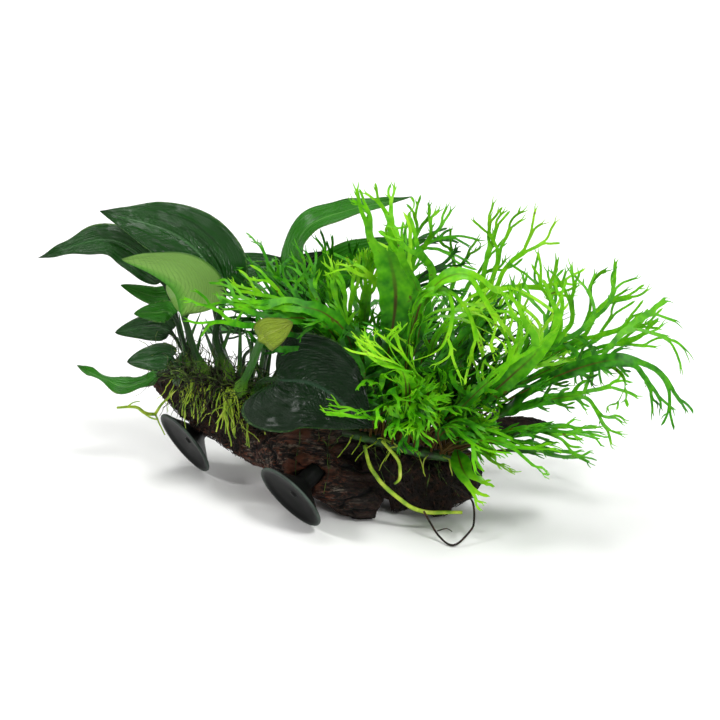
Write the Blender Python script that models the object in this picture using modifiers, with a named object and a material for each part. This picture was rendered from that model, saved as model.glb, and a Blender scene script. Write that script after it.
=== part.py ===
"""Anubias and a lace-leaved java fern growing on a driftwood log that stands on three suction cups.

The frame: +X runs along the log towards the fern, -Y is the front, +Z is up, and the origin is on the
surface the log rests on, under the middle of the whole plant. Lists of places were set out by hand in
millimetres from a point on that surface under the log, and at() turns one into a point of the frame.
"""
import math
import random

import bmesh
import bpy
import numpy
from mathutils import Matrix, Vector, noise

MM = 0.001

# The gap between two pieces that touch, in mm
GAP = 0.3

# The middle of the whole plant in the listed places, in mm
MID_X = -2.0
MID_Y = -9.5

# The log, in mm: x, y, z and radius along its axis, from the far left end to the near right end
LOG_AXIS = [
    (-105, 41, 47, 4.5), (-100, 37, 45, 9), (-91, 33, 43, 12.5), (-78, 24, 39, 15.5), (-62, 14, 34, 17.5),
    (-45, 4, 30, 18.5), (-28, -5, 27, 19), (-12, -11, 25, 18), (4, -15, 23, 17.5), (20, -19, 20, 17),
    (38, -22, 17, 16.5), (50, -23, 19, 12.5), (56, -24, 21, 7),
]

# Where the front limb forks off, and the axes of it and of the side branch at the right end
FORK_X = -18
FRONT_LIMB_AXIS = [
    (-48, -6, 28, 7), (-36, -17, 26, 12), (-22, -25, 22, 13.5), (-8, -29, 15, 12), (2, -32, 9, 10.5),
    (9, -34, 6, 6),
]
SIDE_BRANCH_AXIS = [
    (42, -16, 27, 4.8), (58, -6, 34, 4.4), (74, -1, 34, 4.0), (88, 0, 33, 3.6), (92, 0, 33, 2.0),
]
LOG_SIDES = 12
LIMB_SIDES = 12
BRANCH_SIDES = 8
LOG_RING_STEP = 6.6

# How far the bark stands in and out, which a limb thinner than the full relief radius does less
BARK_DEPTH = 2.8
FULL_RELIEF_RADIUS = 15.0

# Knots that stand out and hollows that go in: x, y, z and radius in mm
LUMPS = {
    "log_trunk": [(-88, 24, 50, 7), (-58, 22, 46, 8)],
    "log_right_limb": [(37, -30, 7, 8.5), (19, -28, 5, 5), (24, -8, 8, 8)],
    "log_front_limb": [(-26, -33, 30, 5)],
    "log_side_branch": [],
}
HOLLOWS = {"log_right_limb": [(-5, -31, 27, 8)]}

# The suction cups: face centre in mm, and the way the face looks
CUP_RADIUS = 18.25
CUP_LIP = 2.5
CUP_NECK_RADIUS = 4.5
CUP_NECK_TOP = 19.5
CUP_BODY_TOP = 9.5
CUP_CLEARANCE = 3.0
CUP_STEPS = 16
CUTTER_SIDES = 16
CUPS = {
    "suction_cup_left": ((-88.9, 15.8, 16.43), (-0.713, -0.551, -0.435), "log_trunk"),
    "suction_cup_front": ((-32.4, -45.4, 15.98), (-0.647, -0.586, -0.483), "log_front_limb"),
    "suction_cup_back": ((5.0, 11.0, 10.95), (0.0, 0.6, -0.8), "log_right_limb"),
}

# The creeping stems: x, y, z and radius in mm
ANUBIAS_RHIZOME = [
    (-91, 15, 51, 3.2), (-82, 10, 53, 4.4), (-70, 2, 53, 4.6), (-58, -5, 51, 4.6), (-46, -9, 48, 3.6),
]
FERN_RHIZOME = [
    (-8, -26, 41, 2.2), (6, -29, 38.5, 2.7), (20, -31, 35, 2.7), (36, -33, 32, 2.7), (51, -31, 30, 2.0),
]

# The roots: x, y, z and radius in mm
ROOTS = {
    "fern_long_root": ("pale_root", [
        (2, -40, 40, 0.8), (5, -45, 31, 0.9), (11, -47, 23, 1.0), (19, -48, 16, 1.0), (28, -49, 11, 1.0),
        (47, -49, 10, 0.8),
    ]),
    "fern_curled_root": ("pale_root", [
        (10, -44, 44, 0.7), (14, -46, 40, 0.8), (18, -46, 33, 0.8), (18, -46, 26, 0.8), (16, -45, 23, 0.6),
    ]),
    "fern_wire_root": ("dark_root", [
        (29, -53, 13, 0.5), (36, -58, 3, 0.5), (42, -63, 1, 0.5), (51, -57, 6, 0.5), (52, -50, 13, 0.5),
        (49, -47, 19, 0.5), (43, -46, 23, 0.5),
    ]),
    "anubias_far_root": ("pale_root", [
        (-122, 18, 35, 0.6), (-113, 19, 35, 0.8), (-108, 20, 31, 0.9), (-104, 24, 29, 0.9),
    ]),
}

# The root mats: material, the middle and half sizes of the patch that each covers, and its thickness in mm
ROOT_MATS = {
    "anubias_root_mat": ("dark_root", (-84, 2, 38), (27, 18, 13), 3.0),
    "fern_root_mat": ("dark_root", (34, -42, 18), (22, 16, 14), 2.6),
}

# The steps in which a curve is followed from one of its points to the next
SPAN_STEPS = 12

# The ways a blade's upper side can look
FRONT = (0.0, -0.85, 0.5)
UP = (0.0, -0.25, 1.0)
BACK = (0.0, 0.6, 0.8)
LEFT_UP = (-0.6, -0.4, 0.7)
UNDER = (0.2, 0.55, 0.8)

# Anubias leaves: place along the rhizome, then bend, blade base, belly and tip in mm, half width of the
# blade, radius of the petiole, how far the base lobes run back, how steeply the two halves fold up, and
# the way the upper side looks
ANUBIAS_LEAVES = {
    "top": (-64, [(-69, 2, 79), (-66, 8, 101), (-86, 15, 124), (-122, 9, 138)], 17.5, 1.9, 0.5, 0.12, FRONT),
    "pale": (-74, [(-79, -1, 72), (-83, -6, 92), (-88, -9, 108), (-109, -13, 121)], 15.5, 1.8, 0.4, 0.8, UNDER),
    "far_left": (-83, [(-87, 14, 72), (-96, 20, 101), (-119, 16, 122), (-152, 6, 116)], 9, 1.4, 0.4, 0.2, FRONT),
    "back": (-67, [(-69, 24, 69), (-73, 34, 94), (-58, 40, 100), (-29, 38, 105)], 9, 1.3, 0.3, 0.2, FRONT),
    "arching": (-51, [(-45, 14, 70), (-34, 24, 99), (-24, 30, 126), (25, 22, 142)], 9, 1.4, 0.4, 0.3, LEFT_UP),
    "dark": (-57, [(-49, 24, 66), (-39, 44, 81), (-29, 50, 94), (-5, 50, 108)], 11, 1.2, 0.3, 0.2, FRONT),
    "striped": (-47, [(-34, 14, 70), (-24, 20, 91), (-5, 24, 109), (34, 26, 120)], 10, 1.3, 0.3, 0.25, FRONT),
    "olive": (-56, [(-50, -30, 74), (-43, -48, 94), (-36, -50, 99), (-29, -51, 103)], 6.5, 2.1, 0.2, 0.1, FRONT),
    "front": (-49, [(-45, -23, 65), (-37, -30, 68), (-18, -41, 69), (6, -51, 53)], 23, 1.7, 1.25, 0.2, FRONT),
    "small_1": (-87, [(-85, 22, 69), (-91, 27, 89), (-102, 26, 91), (-117, 22, 98)], 4.5, 1.1, 0.3, 0.3, FRONT),
    "small_2": (-78, [(-84, 10, 68), (-90, 8, 87), (-98, 6, 89), (-108, 4, 89)], 5, 1.0, 0.3, 0.2, FRONT),
    "small_3": (-82, [(-87, 26, 60), (-95, 28, 72), (-107, 28, 74), (-122, 26, 72)], 6.5, 1.1, 0.3, 0.2, FRONT),
    "small_4": (-85, [(-88, 6, 59), (-92, 6, 66), (-102, 4, 66), (-112, 0, 66)], 6.5, 1.0, 0.3, 0.2, FRONT),
    "small_5": (-90, [(-96, 16, 56), (-101, 18, 52), (-118, 14, 48), (-139, 12, 60)], 6, 1.1, 0.3, 0.2, UP),
    "low_1": (-71, [(-72, 24, 62), (-74, 42, 66), (-66, 54, 66), (-54, 62, 68)], 8, 1.1, 0.3, 0.2, UP),
    "low_2": (-62, [(-57, 22, 62), (-46, 34, 64), (-32, 38, 66), (-16, 40, 68)], 7, 1.0, 0.3, 0.2, FRONT),
}

# Lopsided leaves: by what share one half is wider, and the other half's lobe longer, than the average,
# and how soon the lobes run out, which is SLOW_LOBES on the others
SLOW_LOBES = 1.5
LOPSIDED = {"front": (-0.04, 0.5, 4.0), "pale": (0.15, 0.0, SLOW_LOBES)}

# The leaves that aren't dark green: one shows its pale underside, one is old
LEAF_MATERIALS = {"pale": "anubias_pale_green", "olive": "anubias_olive"}

# Fern leaves: place along the rhizome, then points along the leaf to its tips in mm, half width of the
# blade, the share of the length where it forks, how far the forks spread in degrees, and the way the
# upper side looks
FERN_LEAVES = [
    (6, [(13, -26, 80), (16, -28, 109), (11, -26, 133), (6, -20, 149), (5, -16, 156)], 8.0, 0.74, 26, FRONT),
    (12, [(21, -6, 76), (23, 0, 111), (28, 2, 127), (34, 4, 146)], 2.6, 0.74, 24, FRONT),
    (2, [(1, -14, 79), (3, -12, 100), (5, -8, 124)], 2.2, 0.8, 12, FRONT),
    (-1, [(-7, -2, 73), (-9, 0, 92), (-11, 3, 106), (-12, 6, 126)], 2.6, 0.7, 22, FRONT),
    (-3, [(-4, -28, 84), (-15, -34, 101), (-32, -38, 108), (-57, -34, 121)], 3.8, 0.68, 30, FRONT),
    (-6, [(-9, -20, 80), (-22, -32, 98), (-46, -44, 101), (-78, -40, 101)], 3.4, 0.68, 15, FRONT),
    (0, [(-6, -15, 84), (-20, -19, 100), (-28, -19, 108), (-34, -16, 124)], 2.8, 0.68, 30, FRONT),
    (16, [(24, -44, 88), (31, -52, 118), (46, -54, 125), (60, -54, 108), (64, -52, 88)], 5.0, 0.72, 24, UP),
    (15, [(16, 6, 66), (20, 12, 94), (32, 16, 110), (48, 18, 108)], 4.0, 0.72, 22, FRONT),
    (25, [(46, 2, 70), (58, 9, 98), (67, 12, 112), (80, 14, 134)], 3.0, 0.68, 26, FRONT),
    (29, [(50, -10, 78), (62, -7, 102), (76, -6, 116), (94, -4, 132)], 2.8, 0.68, 30, FRONT),
    (31, [(60, -22, 64), (84, -27, 82), (95, -27, 98), (99, -25, 126)], 2.8, 0.7, 28, FRONT),
    (36, [(66, -12, 60), (94, -12, 76), (112, -12, 88), (132, -10, 108)], 2.4, 0.72, 30, FRONT),
    (40, [(72, -2, 52), (101, 2, 66), (120, 3, 73), (144, 5, 82)], 2.2, 0.74, 26, FRONT),
    (38, [(72, -33, 62), (99, -40, 78), (119, -42, 82), (132, -42, 72), (138, -42, 55)], 3.6, 0.78, 14, FRONT),
    (46, [(76, -10, 46), (105, -8, 52), (120, -8, 50), (135, -8, 48)], 2.6, 0.72, 24, FRONT),
    (27, [(50, -44, 60), (66, -56, 80), (78, -60, 98), (75, -58, 126)], 4.5, 0.72, 24, FRONT),
    (34, [(54, -36, 48), (70, -46, 62), (84, -50, 72)], 6.5, 0.78, 20, UP),
    (41, [(58, -48, 46), (76, -60, 56), (90, -63, 58), (106, -62, 56)], 3.2, 0.7, 26, UP),
    (49, [(62, -42, 38), (80, -50, 42), (92, -52, 40), (104, -52, 36)], 3.0, 0.7, 24, UP),
    (44, [(44, -46, 40), (46, -56, 35), (50, -60, 31), (58, -62, 25)], 4.8, 0.7, 28, UP),
    (37, [(46, -56, 50), (60, -68, 54), (72, -72, 50), (86, -72, 44)], 3.0, 0.72, 24, UP),
    (18, [(22, -50, 64), (20, -64, 84), (12, -70, 96), (6, -68, 106)], 3.4, 0.7, 24, UP),
    (10, [(10, -46, 56), (4, -60, 62), (-2, -64, 66), (-14, -62, 71)], 2.6, 0.68, 26, UP),
    (4, [(0, 6, 64), (0, 26, 78), (2, 44, 84), (0, 60, 80)], 3.6, 0.7, 26, BACK),
    (21, [(30, 10, 62), (36, 32, 78), (40, 48, 83), (42, 64, 77)], 3.6, 0.7, 26, BACK),
    (43, [(66, 10, 50), (84, 28, 62), (98, 42, 68), (110, 54, 65)], 3.6, 0.7, 26, BACK),
]

# How finely the leaves are made: samples along a leaf, rings of a petiole and of a blade, and the eight
# corners of a petiole's ring
LEAF_SAMPLES = 49
PETIOLE_RINGS = 3
BLADE_RINGS = 6
RING_ANGLES = [math.pi - math.pi * k / 4 for k in range(8)]
ANUBIAS_THICKNESS = 0.5
FERN_THICKNESS = 0.7
STALK_HALF_WIDTH = 0.8
BLADE_SHARP_ANGLE = 50

# The sides of the thin tubes, and the distance between their rings in mm
STEM_SIDES = 8
STEM_RING_STEP = 6
ROOT_SIDES = 6
ROOT_RING_STEP = 5

# The plain colours and roughness of what each piece is made of
COLOURS = {
    "driftwood": ("3a291d", 0.8),
    "black_rubber": ("232423", 0.45),
    "anubias_green": ("27401f", 0.3),
    "anubias_pale_green": ("4f8e25", 0.35),
    "anubias_olive": ("5e7215", 0.4),
    "fern_green": ("3f8a12", 0.4),
    "rhizome_green": ("3f6a22", 0.5),
    "pale_root": ("a8b441", 0.6),
    "dark_root": ("2b2012", 0.85),
}


def at(place):
    """A listed place in mm as a point of the frame in metres."""
    x, y, z = place
    return Vector((x - MID_X, y - MID_Y, z)) * MM


def linear(hex_code):
    """An sRGB colour, written as six hex digits, as linear red, green, blue and alpha."""
    channels = [int(hex_code[i:i + 2], 16) / 255 for i in (0, 2, 4)]
    return [c / 12.92 if c <= 0.04045 else ((c + 0.055) / 1.055) ** 2.4 for c in channels] + [1.0]


def make_material(name):
    """The plain Principled material that one kind of surface has."""
    hex_code, roughness = COLOURS[name]
    material = bpy.data.materials.new(name)
    material.use_nodes = True
    shader = material.node_tree.nodes["Principled BSDF"]
    shader.inputs["Base Color"].default_value = linear(hex_code)
    shader.inputs["Roughness"].default_value = roughness
    shader.inputs["Metallic"].default_value = 0.0
    return material


def empty_scene():
    """Remove what the file starts with."""
    for thing in list(bpy.data.objects):
        bpy.data.objects.remove(thing, do_unlink=True)


def make_collection(name):
    """A new collection of the scene."""
    collection = bpy.data.collections.new(name)
    bpy.context.scene.collection.children.link(collection)
    return collection


def finish(thing, material_name):
    """Give a sub-part its own copy of a material."""
    material = MATERIALS[material_name].copy()
    material.name = thing.name + "_" + material_name
    thing.data.materials.clear()
    thing.data.materials.append(material)
    return thing


def as_cutter(thing):
    """Mark an object as a cutter, which is no part of the model."""
    PARTS.objects.unlink(thing)
    CUTTERS.objects.link(thing)
    thing.hide_render = True
    thing.display_type = "WIRE"
    return thing


def new_object(name, data):
    """Put a mesh or a curve into the model under the name of its sub-part."""
    thing = bpy.data.objects.new(name, data)
    PARTS.objects.link(thing)
    return thing


def evaluated_mesh(thing):
    """The mesh of an object with its modifiers applied."""
    bpy.context.view_layer.update()
    graph = bpy.context.evaluated_depsgraph_get()
    return bpy.data.meshes.new_from_object(thing.evaluated_get(graph))


def apply_modifiers(thing):
    """Replace an object's mesh by what its modifiers make of it."""
    mesh = evaluated_mesh(thing)
    thing.modifiers.clear()
    thing.data = mesh
    return thing


def smooth_path(points, count):
    """Even samples of a Catmull-Rom curve through points, each a vector of any length."""
    points = [Vector(p) for p in points]
    ends = [2 * points[0] - points[1]] + points + [2 * points[-1] - points[-2]]
    fine = []
    for i in range(1, len(ends) - 2):
        a, b, c, d = ends[i - 1:i + 3]
        for step in range(SPAN_STEPS):
            t = step / SPAN_STEPS
            fine.append(0.5 * (2 * b + (c - a) * t + (2 * a - 5 * b + 4 * c - d) * t ** 2
                               + (3 * b - a - 3 * c + d) * t ** 3))
    fine.append(points[-1])
    lengths = [0.0]
    for a, b in zip(fine, fine[1:]):
        lengths.append(lengths[-1] + (b - a).length)
    samples = []
    place = 0
    for i in range(count):
        target = lengths[-1] * i / (count - 1)
        while place < len(fine) - 2 and lengths[place + 1] < target:
            place += 1
        span = lengths[place + 1] - lengths[place]
        samples.append(fine[place].lerp(fine[place + 1], (target - lengths[place]) / span))
    return samples


def tube(name, stations, sides, step):
    """A tube object along stations of x, y, z and radius in mm, as a bevelled poly curve."""
    length = sum((Vector(b[:3]) - Vector(a[:3])).length for a, b in zip(stations, stations[1:]))
    samples = smooth_path(stations, max(3, round(length / step) + 1))
    curve = bpy.data.curves.new(name, "CURVE")
    curve.dimensions = "3D"
    curve.bevel_depth = MM
    curve.bevel_resolution = (sides - 4) // 2
    curve.use_fill_caps = True
    spline = curve.splines.new("POLY")
    spline.points.add(len(samples) - 1)
    for point, sample in zip(spline.points, samples):
        point.co = (*at(sample[:3]), 1.0)
        point.radius = sample[3]
    return new_object(name, curve)


def tube_mesh(name, stations, sides, step):
    """The same tube as one closed mesh."""
    curve_object = tube(name + "_curve", stations, sides, step)
    mesh = evaluated_mesh(curve_object)
    curve = curve_object.data
    bpy.data.objects.remove(curve_object, do_unlink=True)
    bpy.data.curves.remove(curve)
    shape = bmesh.new()
    shape.from_mesh(mesh)
    bmesh.ops.remove_doubles(shape, verts=shape.verts, dist=0.01 * MM)
    bmesh.ops.recalc_face_normals(shape, faces=shape.faces)
    bmesh.ops.triangulate(shape, faces=shape.faces)
    shape.to_mesh(mesh)
    shape.free()
    return new_object(name, mesh)


def bark_relief(place):
    """How far the bark stands out at a place, between about -1 and 1: long ridges with the grain."""
    x, y, z = place / MM
    ridges = noise.noise(Vector((x * 0.035, y * 0.11, z * 0.11)))
    knobs = noise.noise(Vector((x * 0.10 + 7, y * 0.16, z * 0.16)))
    return 1.1 * ridges + 0.7 * knobs


def wood_body(name, stations, sides, grow=0.0):
    """A limb of driftwood: a tube with bark relief, grown by some mm all over."""
    thing = tube_mesh(name, stations, sides, LOG_RING_STEP)
    along = [at(station[:3]).x for station in stations]
    depths = [BARK_DEPTH * min(1.0, station[3] / FULL_RELIEF_RADIUS) for station in stations]
    normals = [vertex.normal.copy() for vertex in thing.data.vertices]
    for vertex, normal in zip(thing.data.vertices, normals):
        depth = float(numpy.interp(vertex.co.x, along, depths))
        vertex.co += normal * (depth * bark_relief(vertex.co) + grow) * MM
    return thing


def add_boolean(thing, cutter, operation):
    """Cut or join an object with another by a live Boolean."""
    modifier = thing.modifiers.new(operation.lower(), "BOOLEAN")
    modifier.operation = operation
    modifier.object = cutter
    modifier.solver = "EXACT"


def box_cutter(name, low, high):
    """A box between two corners in mm."""
    bpy.ops.mesh.primitive_cube_add(size=1.0)
    box = bpy.context.object
    box.name = name
    for collection in list(box.users_collection):
        collection.objects.unlink(box)
    PARTS.objects.link(box)
    low_corner = at(low)
    high_corner = at(high)
    size = high_corner - low_corner
    middle = (low_corner + high_corner) / 2
    box.data.transform(Matrix.Translation(middle) @ Matrix.Diagonal((*size, 1.0)))
    return as_cutter(box)


def ball(name, middle, half_sizes, subdivisions=2):
    """An icosphere stretched to its half sizes in mm."""
    shape = bmesh.new()
    bmesh.ops.create_icosphere(shape, subdivisions=subdivisions, radius=MM)
    bmesh.ops.scale(shape, vec=half_sizes, verts=shape.verts)
    bmesh.ops.translate(shape, vec=at(middle), verts=shape.verts)
    mesh = bpy.data.meshes.new(name)
    shape.to_mesh(mesh)
    shape.free()
    return as_cutter(new_object(name, mesh))


def keep_largest_body(thing):
    """Drop the loose offcuts that a cut leaves beside the main body."""
    shape = bmesh.new()
    shape.from_mesh(thing.data)
    unseen = set(shape.verts)
    bodies = []
    while unseen:
        front = [unseen.pop()]
        body = list(front)
        while front:
            vertex = front.pop()
            for edge in vertex.link_edges:
                other = edge.other_vert(vertex)
                if other in unseen:
                    unseen.remove(other)
                    front.append(other)
                    body.append(other)
        bodies.append(body)
    bodies.sort(key=len)
    for body in bodies[:-1]:
        bmesh.ops.delete(shape, geom=body, context="VERTS")
    shape.to_mesh(thing.data)
    shape.free()


def cup_cutters(name):
    """The socket of a suction cup's neck, and the cone that keeps the wood clear of the cup."""
    middle, facing, _ = CUPS[name]
    inwards = -Vector(facing).normalized()
    turn = inwards.to_track_quat("Z", "Y").to_matrix().to_4x4()
    neck = CUP_NECK_RADIUS + GAP
    rim = CUP_RADIUS + 2 * CUP_CLEARANCE
    cutters = []
    for label, radius_low, radius_high, low, high in (
        ("_socket", neck, neck, 0.0, CUP_NECK_TOP + GAP),
        ("_clearance", rim, CUP_NECK_RADIUS, -CUP_CLEARANCE, CUP_BODY_TOP + CUP_CLEARANCE),
    ):
        shape = bmesh.new()
        bmesh.ops.create_cone(
            shape, cap_ends=True, segments=CUTTER_SIDES, radius1=radius_low * MM, radius2=radius_high * MM,
            depth=(high - low) * MM)
        mesh = bpy.data.meshes.new(name + label)
        shape.to_mesh(mesh)
        shape.free()
        mesh.transform(Matrix.Translation(at(middle) + inwards * (low + high) / 2 * MM) @ turn)
        cutters.append(as_cutter(new_object(name + label, mesh)))
    return cutters


def make_driftwood():
    """The log and its limbs, cut at the forks, flat underneath where it rests."""
    far = 200
    floor = box_cutter("floor_cutter", (-far, -far, -far), (far, far, 0))
    log_grown = as_cutter(wood_body("log_grown", LOG_AXIS, LOG_SIDES, GAP))
    beds = {}
    for name, rhizome in (("anubias_bed", ANUBIAS_RHIZOME), ("fern_bed", FERN_RHIZOME)):
        beds[name] = as_cutter(tube_mesh(name, grown(rhizome, GAP), STEM_SIDES, STEM_RING_STEP))

    trunk = wood_body("log_trunk", LOG_AXIS, LOG_SIDES)
    right_limb = wood_body("log_right_limb", LOG_AXIS, LOG_SIDES)
    front_limb = wood_body("log_front_limb", FRONT_LIMB_AXIS, LIMB_SIDES)
    branch = wood_body("log_side_branch", SIDE_BRANCH_AXIS, BRANCH_SIDES)
    limbs = [trunk, right_limb, front_limb, branch]

    for limb in limbs:
        for i, (x, y, z, radius) in enumerate(LUMPS[limb.name]):
            lump = ball(limb.name + "_lump_" + str(i), (x, y, z), (radius,) * 3, 1)
            add_boolean(limb, lump, "UNION")
        for i, (x, y, z, radius) in enumerate(HOLLOWS.get(limb.name, [])):
            hollow = ball(limb.name + "_hollow_" + str(i), (x, y, z), (radius,) * 3, 1)
            add_boolean(limb, hollow, "DIFFERENCE")
        add_boolean(limb, floor, "DIFFERENCE")

    right_of_fork = box_cutter("right_of_fork", (FORK_X - GAP / 2, -far, -far), (far, far, far))
    left_of_fork = box_cutter("left_of_fork", (-far, -far, -far), (FORK_X + GAP / 2, far, far))
    add_boolean(trunk, right_of_fork, "DIFFERENCE")
    add_boolean(right_limb, left_of_fork, "DIFFERENCE")
    for limb in (front_limb, branch):
        add_boolean(limb, log_grown, "DIFFERENCE")
    add_boolean(trunk, beds["anubias_bed"], "DIFFERENCE")
    for limb in (right_limb, front_limb):
        add_boolean(limb, beds["fern_bed"], "DIFFERENCE")
    for cup_name, (_, _, limb_name) in CUPS.items():
        for cutter in cup_cutters(cup_name):
            add_boolean(bpy.data.objects[limb_name], cutter, "DIFFERENCE")

    for limb in limbs:
        keep_largest_body(apply_modifiers(limb))
        finish(limb, "driftwood")


def grown(stations, extra):
    """Stations of a tube with their radius grown by some mm."""
    return [(x, y, z, radius + extra) for x, y, z, radius in stations]


def make_cup(name):
    """A suction cup turned from its profile, its neck in a socket of the wood."""
    radius = CUP_RADIUS
    neck = CUP_NECK_RADIUS
    profile = [
        (0, CUP_NECK_TOP), (neck, CUP_NECK_TOP), (neck, CUP_BODY_TOP), (7.5, 7.5), (14, 3.2),
        (radius, 1.2), (radius, 0), (radius - CUP_LIP, 0), (radius - 6, 1.6), (0, 2.8),
    ]
    shape = bmesh.new()
    vertices = [shape.verts.new((r * MM, 0, z * MM)) for r, z in profile]
    for a, b in zip(vertices, vertices[1:]):
        shape.edges.new((a, b))
    mesh = bpy.data.meshes.new(name)
    shape.to_mesh(mesh)
    shape.free()
    cup = new_object(name, mesh)
    screw = cup.modifiers.new("turned", "SCREW")
    screw.steps = CUP_STEPS
    screw.render_steps = CUP_STEPS
    screw.use_merge_vertices = True
    screw.merge_threshold = 0.0001
    middle, facing, _ = CUPS[name]
    cup.location = at(middle)
    cup.rotation_mode = "QUATERNION"
    cup.rotation_quaternion = (-Vector(facing)).to_track_quat("Z", "Y")
    finish(cup, "black_rubber")


def make_root_mat(name):
    """A felt of roots that clings to a patch of the log."""
    material_name, middle, half_sizes, thickness = ROOT_MATS[name]
    mat = wood_body(name, LOG_AXIS, LOG_SIDES, thickness)
    add_boolean(mat, ball(name + "_patch", middle, half_sizes), "INTERSECT")
    add_boolean(mat, bpy.data.objects["log_grown"], "DIFFERENCE")
    bed = "anubias_bed" if name.startswith("anubias") else "fern_bed"
    add_boolean(mat, bpy.data.objects[bed], "DIFFERENCE")
    for lumps in LUMPS.values():
        for i, (x, y, z, radius) in enumerate(lumps):
            if math.dist((x, y, z), middle) < max(half_sizes) + radius:
                lump = ball(name + "_lump_" + str(i), (x, y, z), (radius + 2 * GAP,) * 3, 1)
                add_boolean(mat, lump, "DIFFERENCE")
    for cup_name in CUPS:
        for label in ("_socket", "_clearance"):
            add_boolean(mat, bpy.data.objects[cup_name + label], "DIFFERENCE")
    keep_largest_body(apply_modifiers(mat))
    finish(mat, material_name)


def stem_foot(rhizome, x, towards):
    """The first two points of a leaf stalk, which leaves a creeping stem at some x, square to it."""
    samples = smooth_path(rhizome, 60)
    i = min(range(1, 59), key=lambda k: abs(samples[k][0] - x))
    middle = samples[i].to_3d()
    along = (samples[i + 1].to_3d() - samples[i - 1].to_3d()).normalized()
    away = Vector(towards) - middle
    away -= along * away.dot(along)
    away.normalize()
    return [middle + away * (samples[i][3] + reach) for reach in (2 * GAP, 5.0)]


class LeafPath:
    """The middle line of a leaf, with its upper side turned to look one way."""

    def __init__(self, points, facing):
        self.samples = [at(p) for p in smooth_path(points, LEAF_SAMPLES)]
        self.facing = Vector(facing).normalized()
        self.length = sum((b - a).length for a, b in zip(self.samples, self.samples[1:]))

    def place(self, s, x, h=0.0, start=0.0):
        """The point s along the leaf, x to its side and h above its upper side, all in metres.

        Before the start of its blade and past its tip, the leaf goes straight on.
        """
        count = len(self.samples) - 1
        on_path = min(max(s, start), self.length)
        t = on_path / self.length * count
        i = min(int(t), count - 1)
        middle = self.samples[i].lerp(self.samples[i + 1], t - i)
        before = self.samples[max(i - 1, 0)]
        after = self.samples[min(i + 2, count)]
        along = (after - before).normalized()
        side = along.cross(self.facing).normalized()
        above = side.cross(along)
        return middle + along * (s - on_path) + side * x + above * h


def make_anubias_leaf(name):
    """A petiole that opens into an egg-shaped blade, lofted as one closed body."""
    x_foot, points, half_width, petiole, lobes, fold, facing = ANUBIAS_LEAVES[name]
    points = stem_foot(ANUBIAS_RHIZOME, x_foot, points[0]) + [Vector(p) for p in points]
    path = LeafPath(points, facing)
    blade_start = arc_share(points, 3)
    wider_above, longer_below, run_out = LOPSIDED.get(name, (0.0, 0.0, SLOW_LOBES))
    across = (-1.0, -0.5, 0.0, 0.5, 1.0, 0.5, 0.0, -0.5)
    rings = []
    for i in range(PETIOLE_RINGS):
        s = blade_start * i / PETIOLE_RINGS
        rings.append([(s, petiole * math.cos(angle), petiole * math.sin(angle), 0.0) for angle in RING_ANGLES])
    for i in range(BLADE_RINGS + 1):
        t = (i / BLADE_RINGS) ** 1.25
        s = blade_start + (1 - blade_start) * t
        width = half_width * ovate(t) + petiole * (1 - t) ** 3 + 0.3
        thick = ANUBIAS_THICKNESS + (petiole - ANUBIAS_THICKNESS) * (1 - t) ** 4
        ring = []
        for k, u in enumerate(across):
            on_top = k <= across.index(1.0)
            upper = 0.7 if on_top else -1.0
            edge = 0.0 if abs(u) == 1 else 1.0
            reach = width * (1 - wider_above * u)
            lift = fold * abs(u) * reach - 0.10 * u * u * reach
            lift += upper * edge * thick
            back = lobes * (1 + longer_below * u) * abs(u) ** 1.5 * reach * (1 - t) ** run_out
            ring.append((s, u * reach, lift, back))
        rings.append(ring)
    shape = bmesh.new()
    loops = []
    for ring in rings:
        loop = []
        for s, x, h, back in ring:
            start = min(s, blade_start) * path.length
            loop.append(shape.verts.new(path.place(s * path.length - back * MM, x * MM, h * MM, start)))
        loops.append(loop)
    for lower, upper in zip(loops, loops[1:]):
        for k in range(len(lower)):
            n = (k + 1) % len(lower)
            shape.faces.new((lower[k], lower[n], upper[n], upper[k]))
    shape.faces.new(loops[0])
    shape.faces.new(loops[-1])
    bmesh.ops.recalc_face_normals(shape, faces=shape.faces)
    mesh = bpy.data.meshes.new("anubias_leaf_" + name)
    shape.to_mesh(mesh)
    shape.free()
    mesh.shade_smooth()
    mesh.set_sharp_from_angle(angle=math.radians(BLADE_SHARP_ANGLE))
    finish(new_object(mesh.name, mesh), LEAF_MATERIALS.get(name, "anubias_green"))


def ovate(t):
    """Half width of an egg-shaped, pointed blade along its length, as a share of the widest."""
    return math.sin(math.pi * min(max(t, 0.0), 1.0) ** 0.62)


def arc_share(points, index):
    """The share of a path's length at which it reaches one of its points."""
    lengths = [(Vector(b) - Vector(a)).length for a, b in zip(points, points[1:])]
    return sum(lengths[:index]) / sum(lengths)


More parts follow.
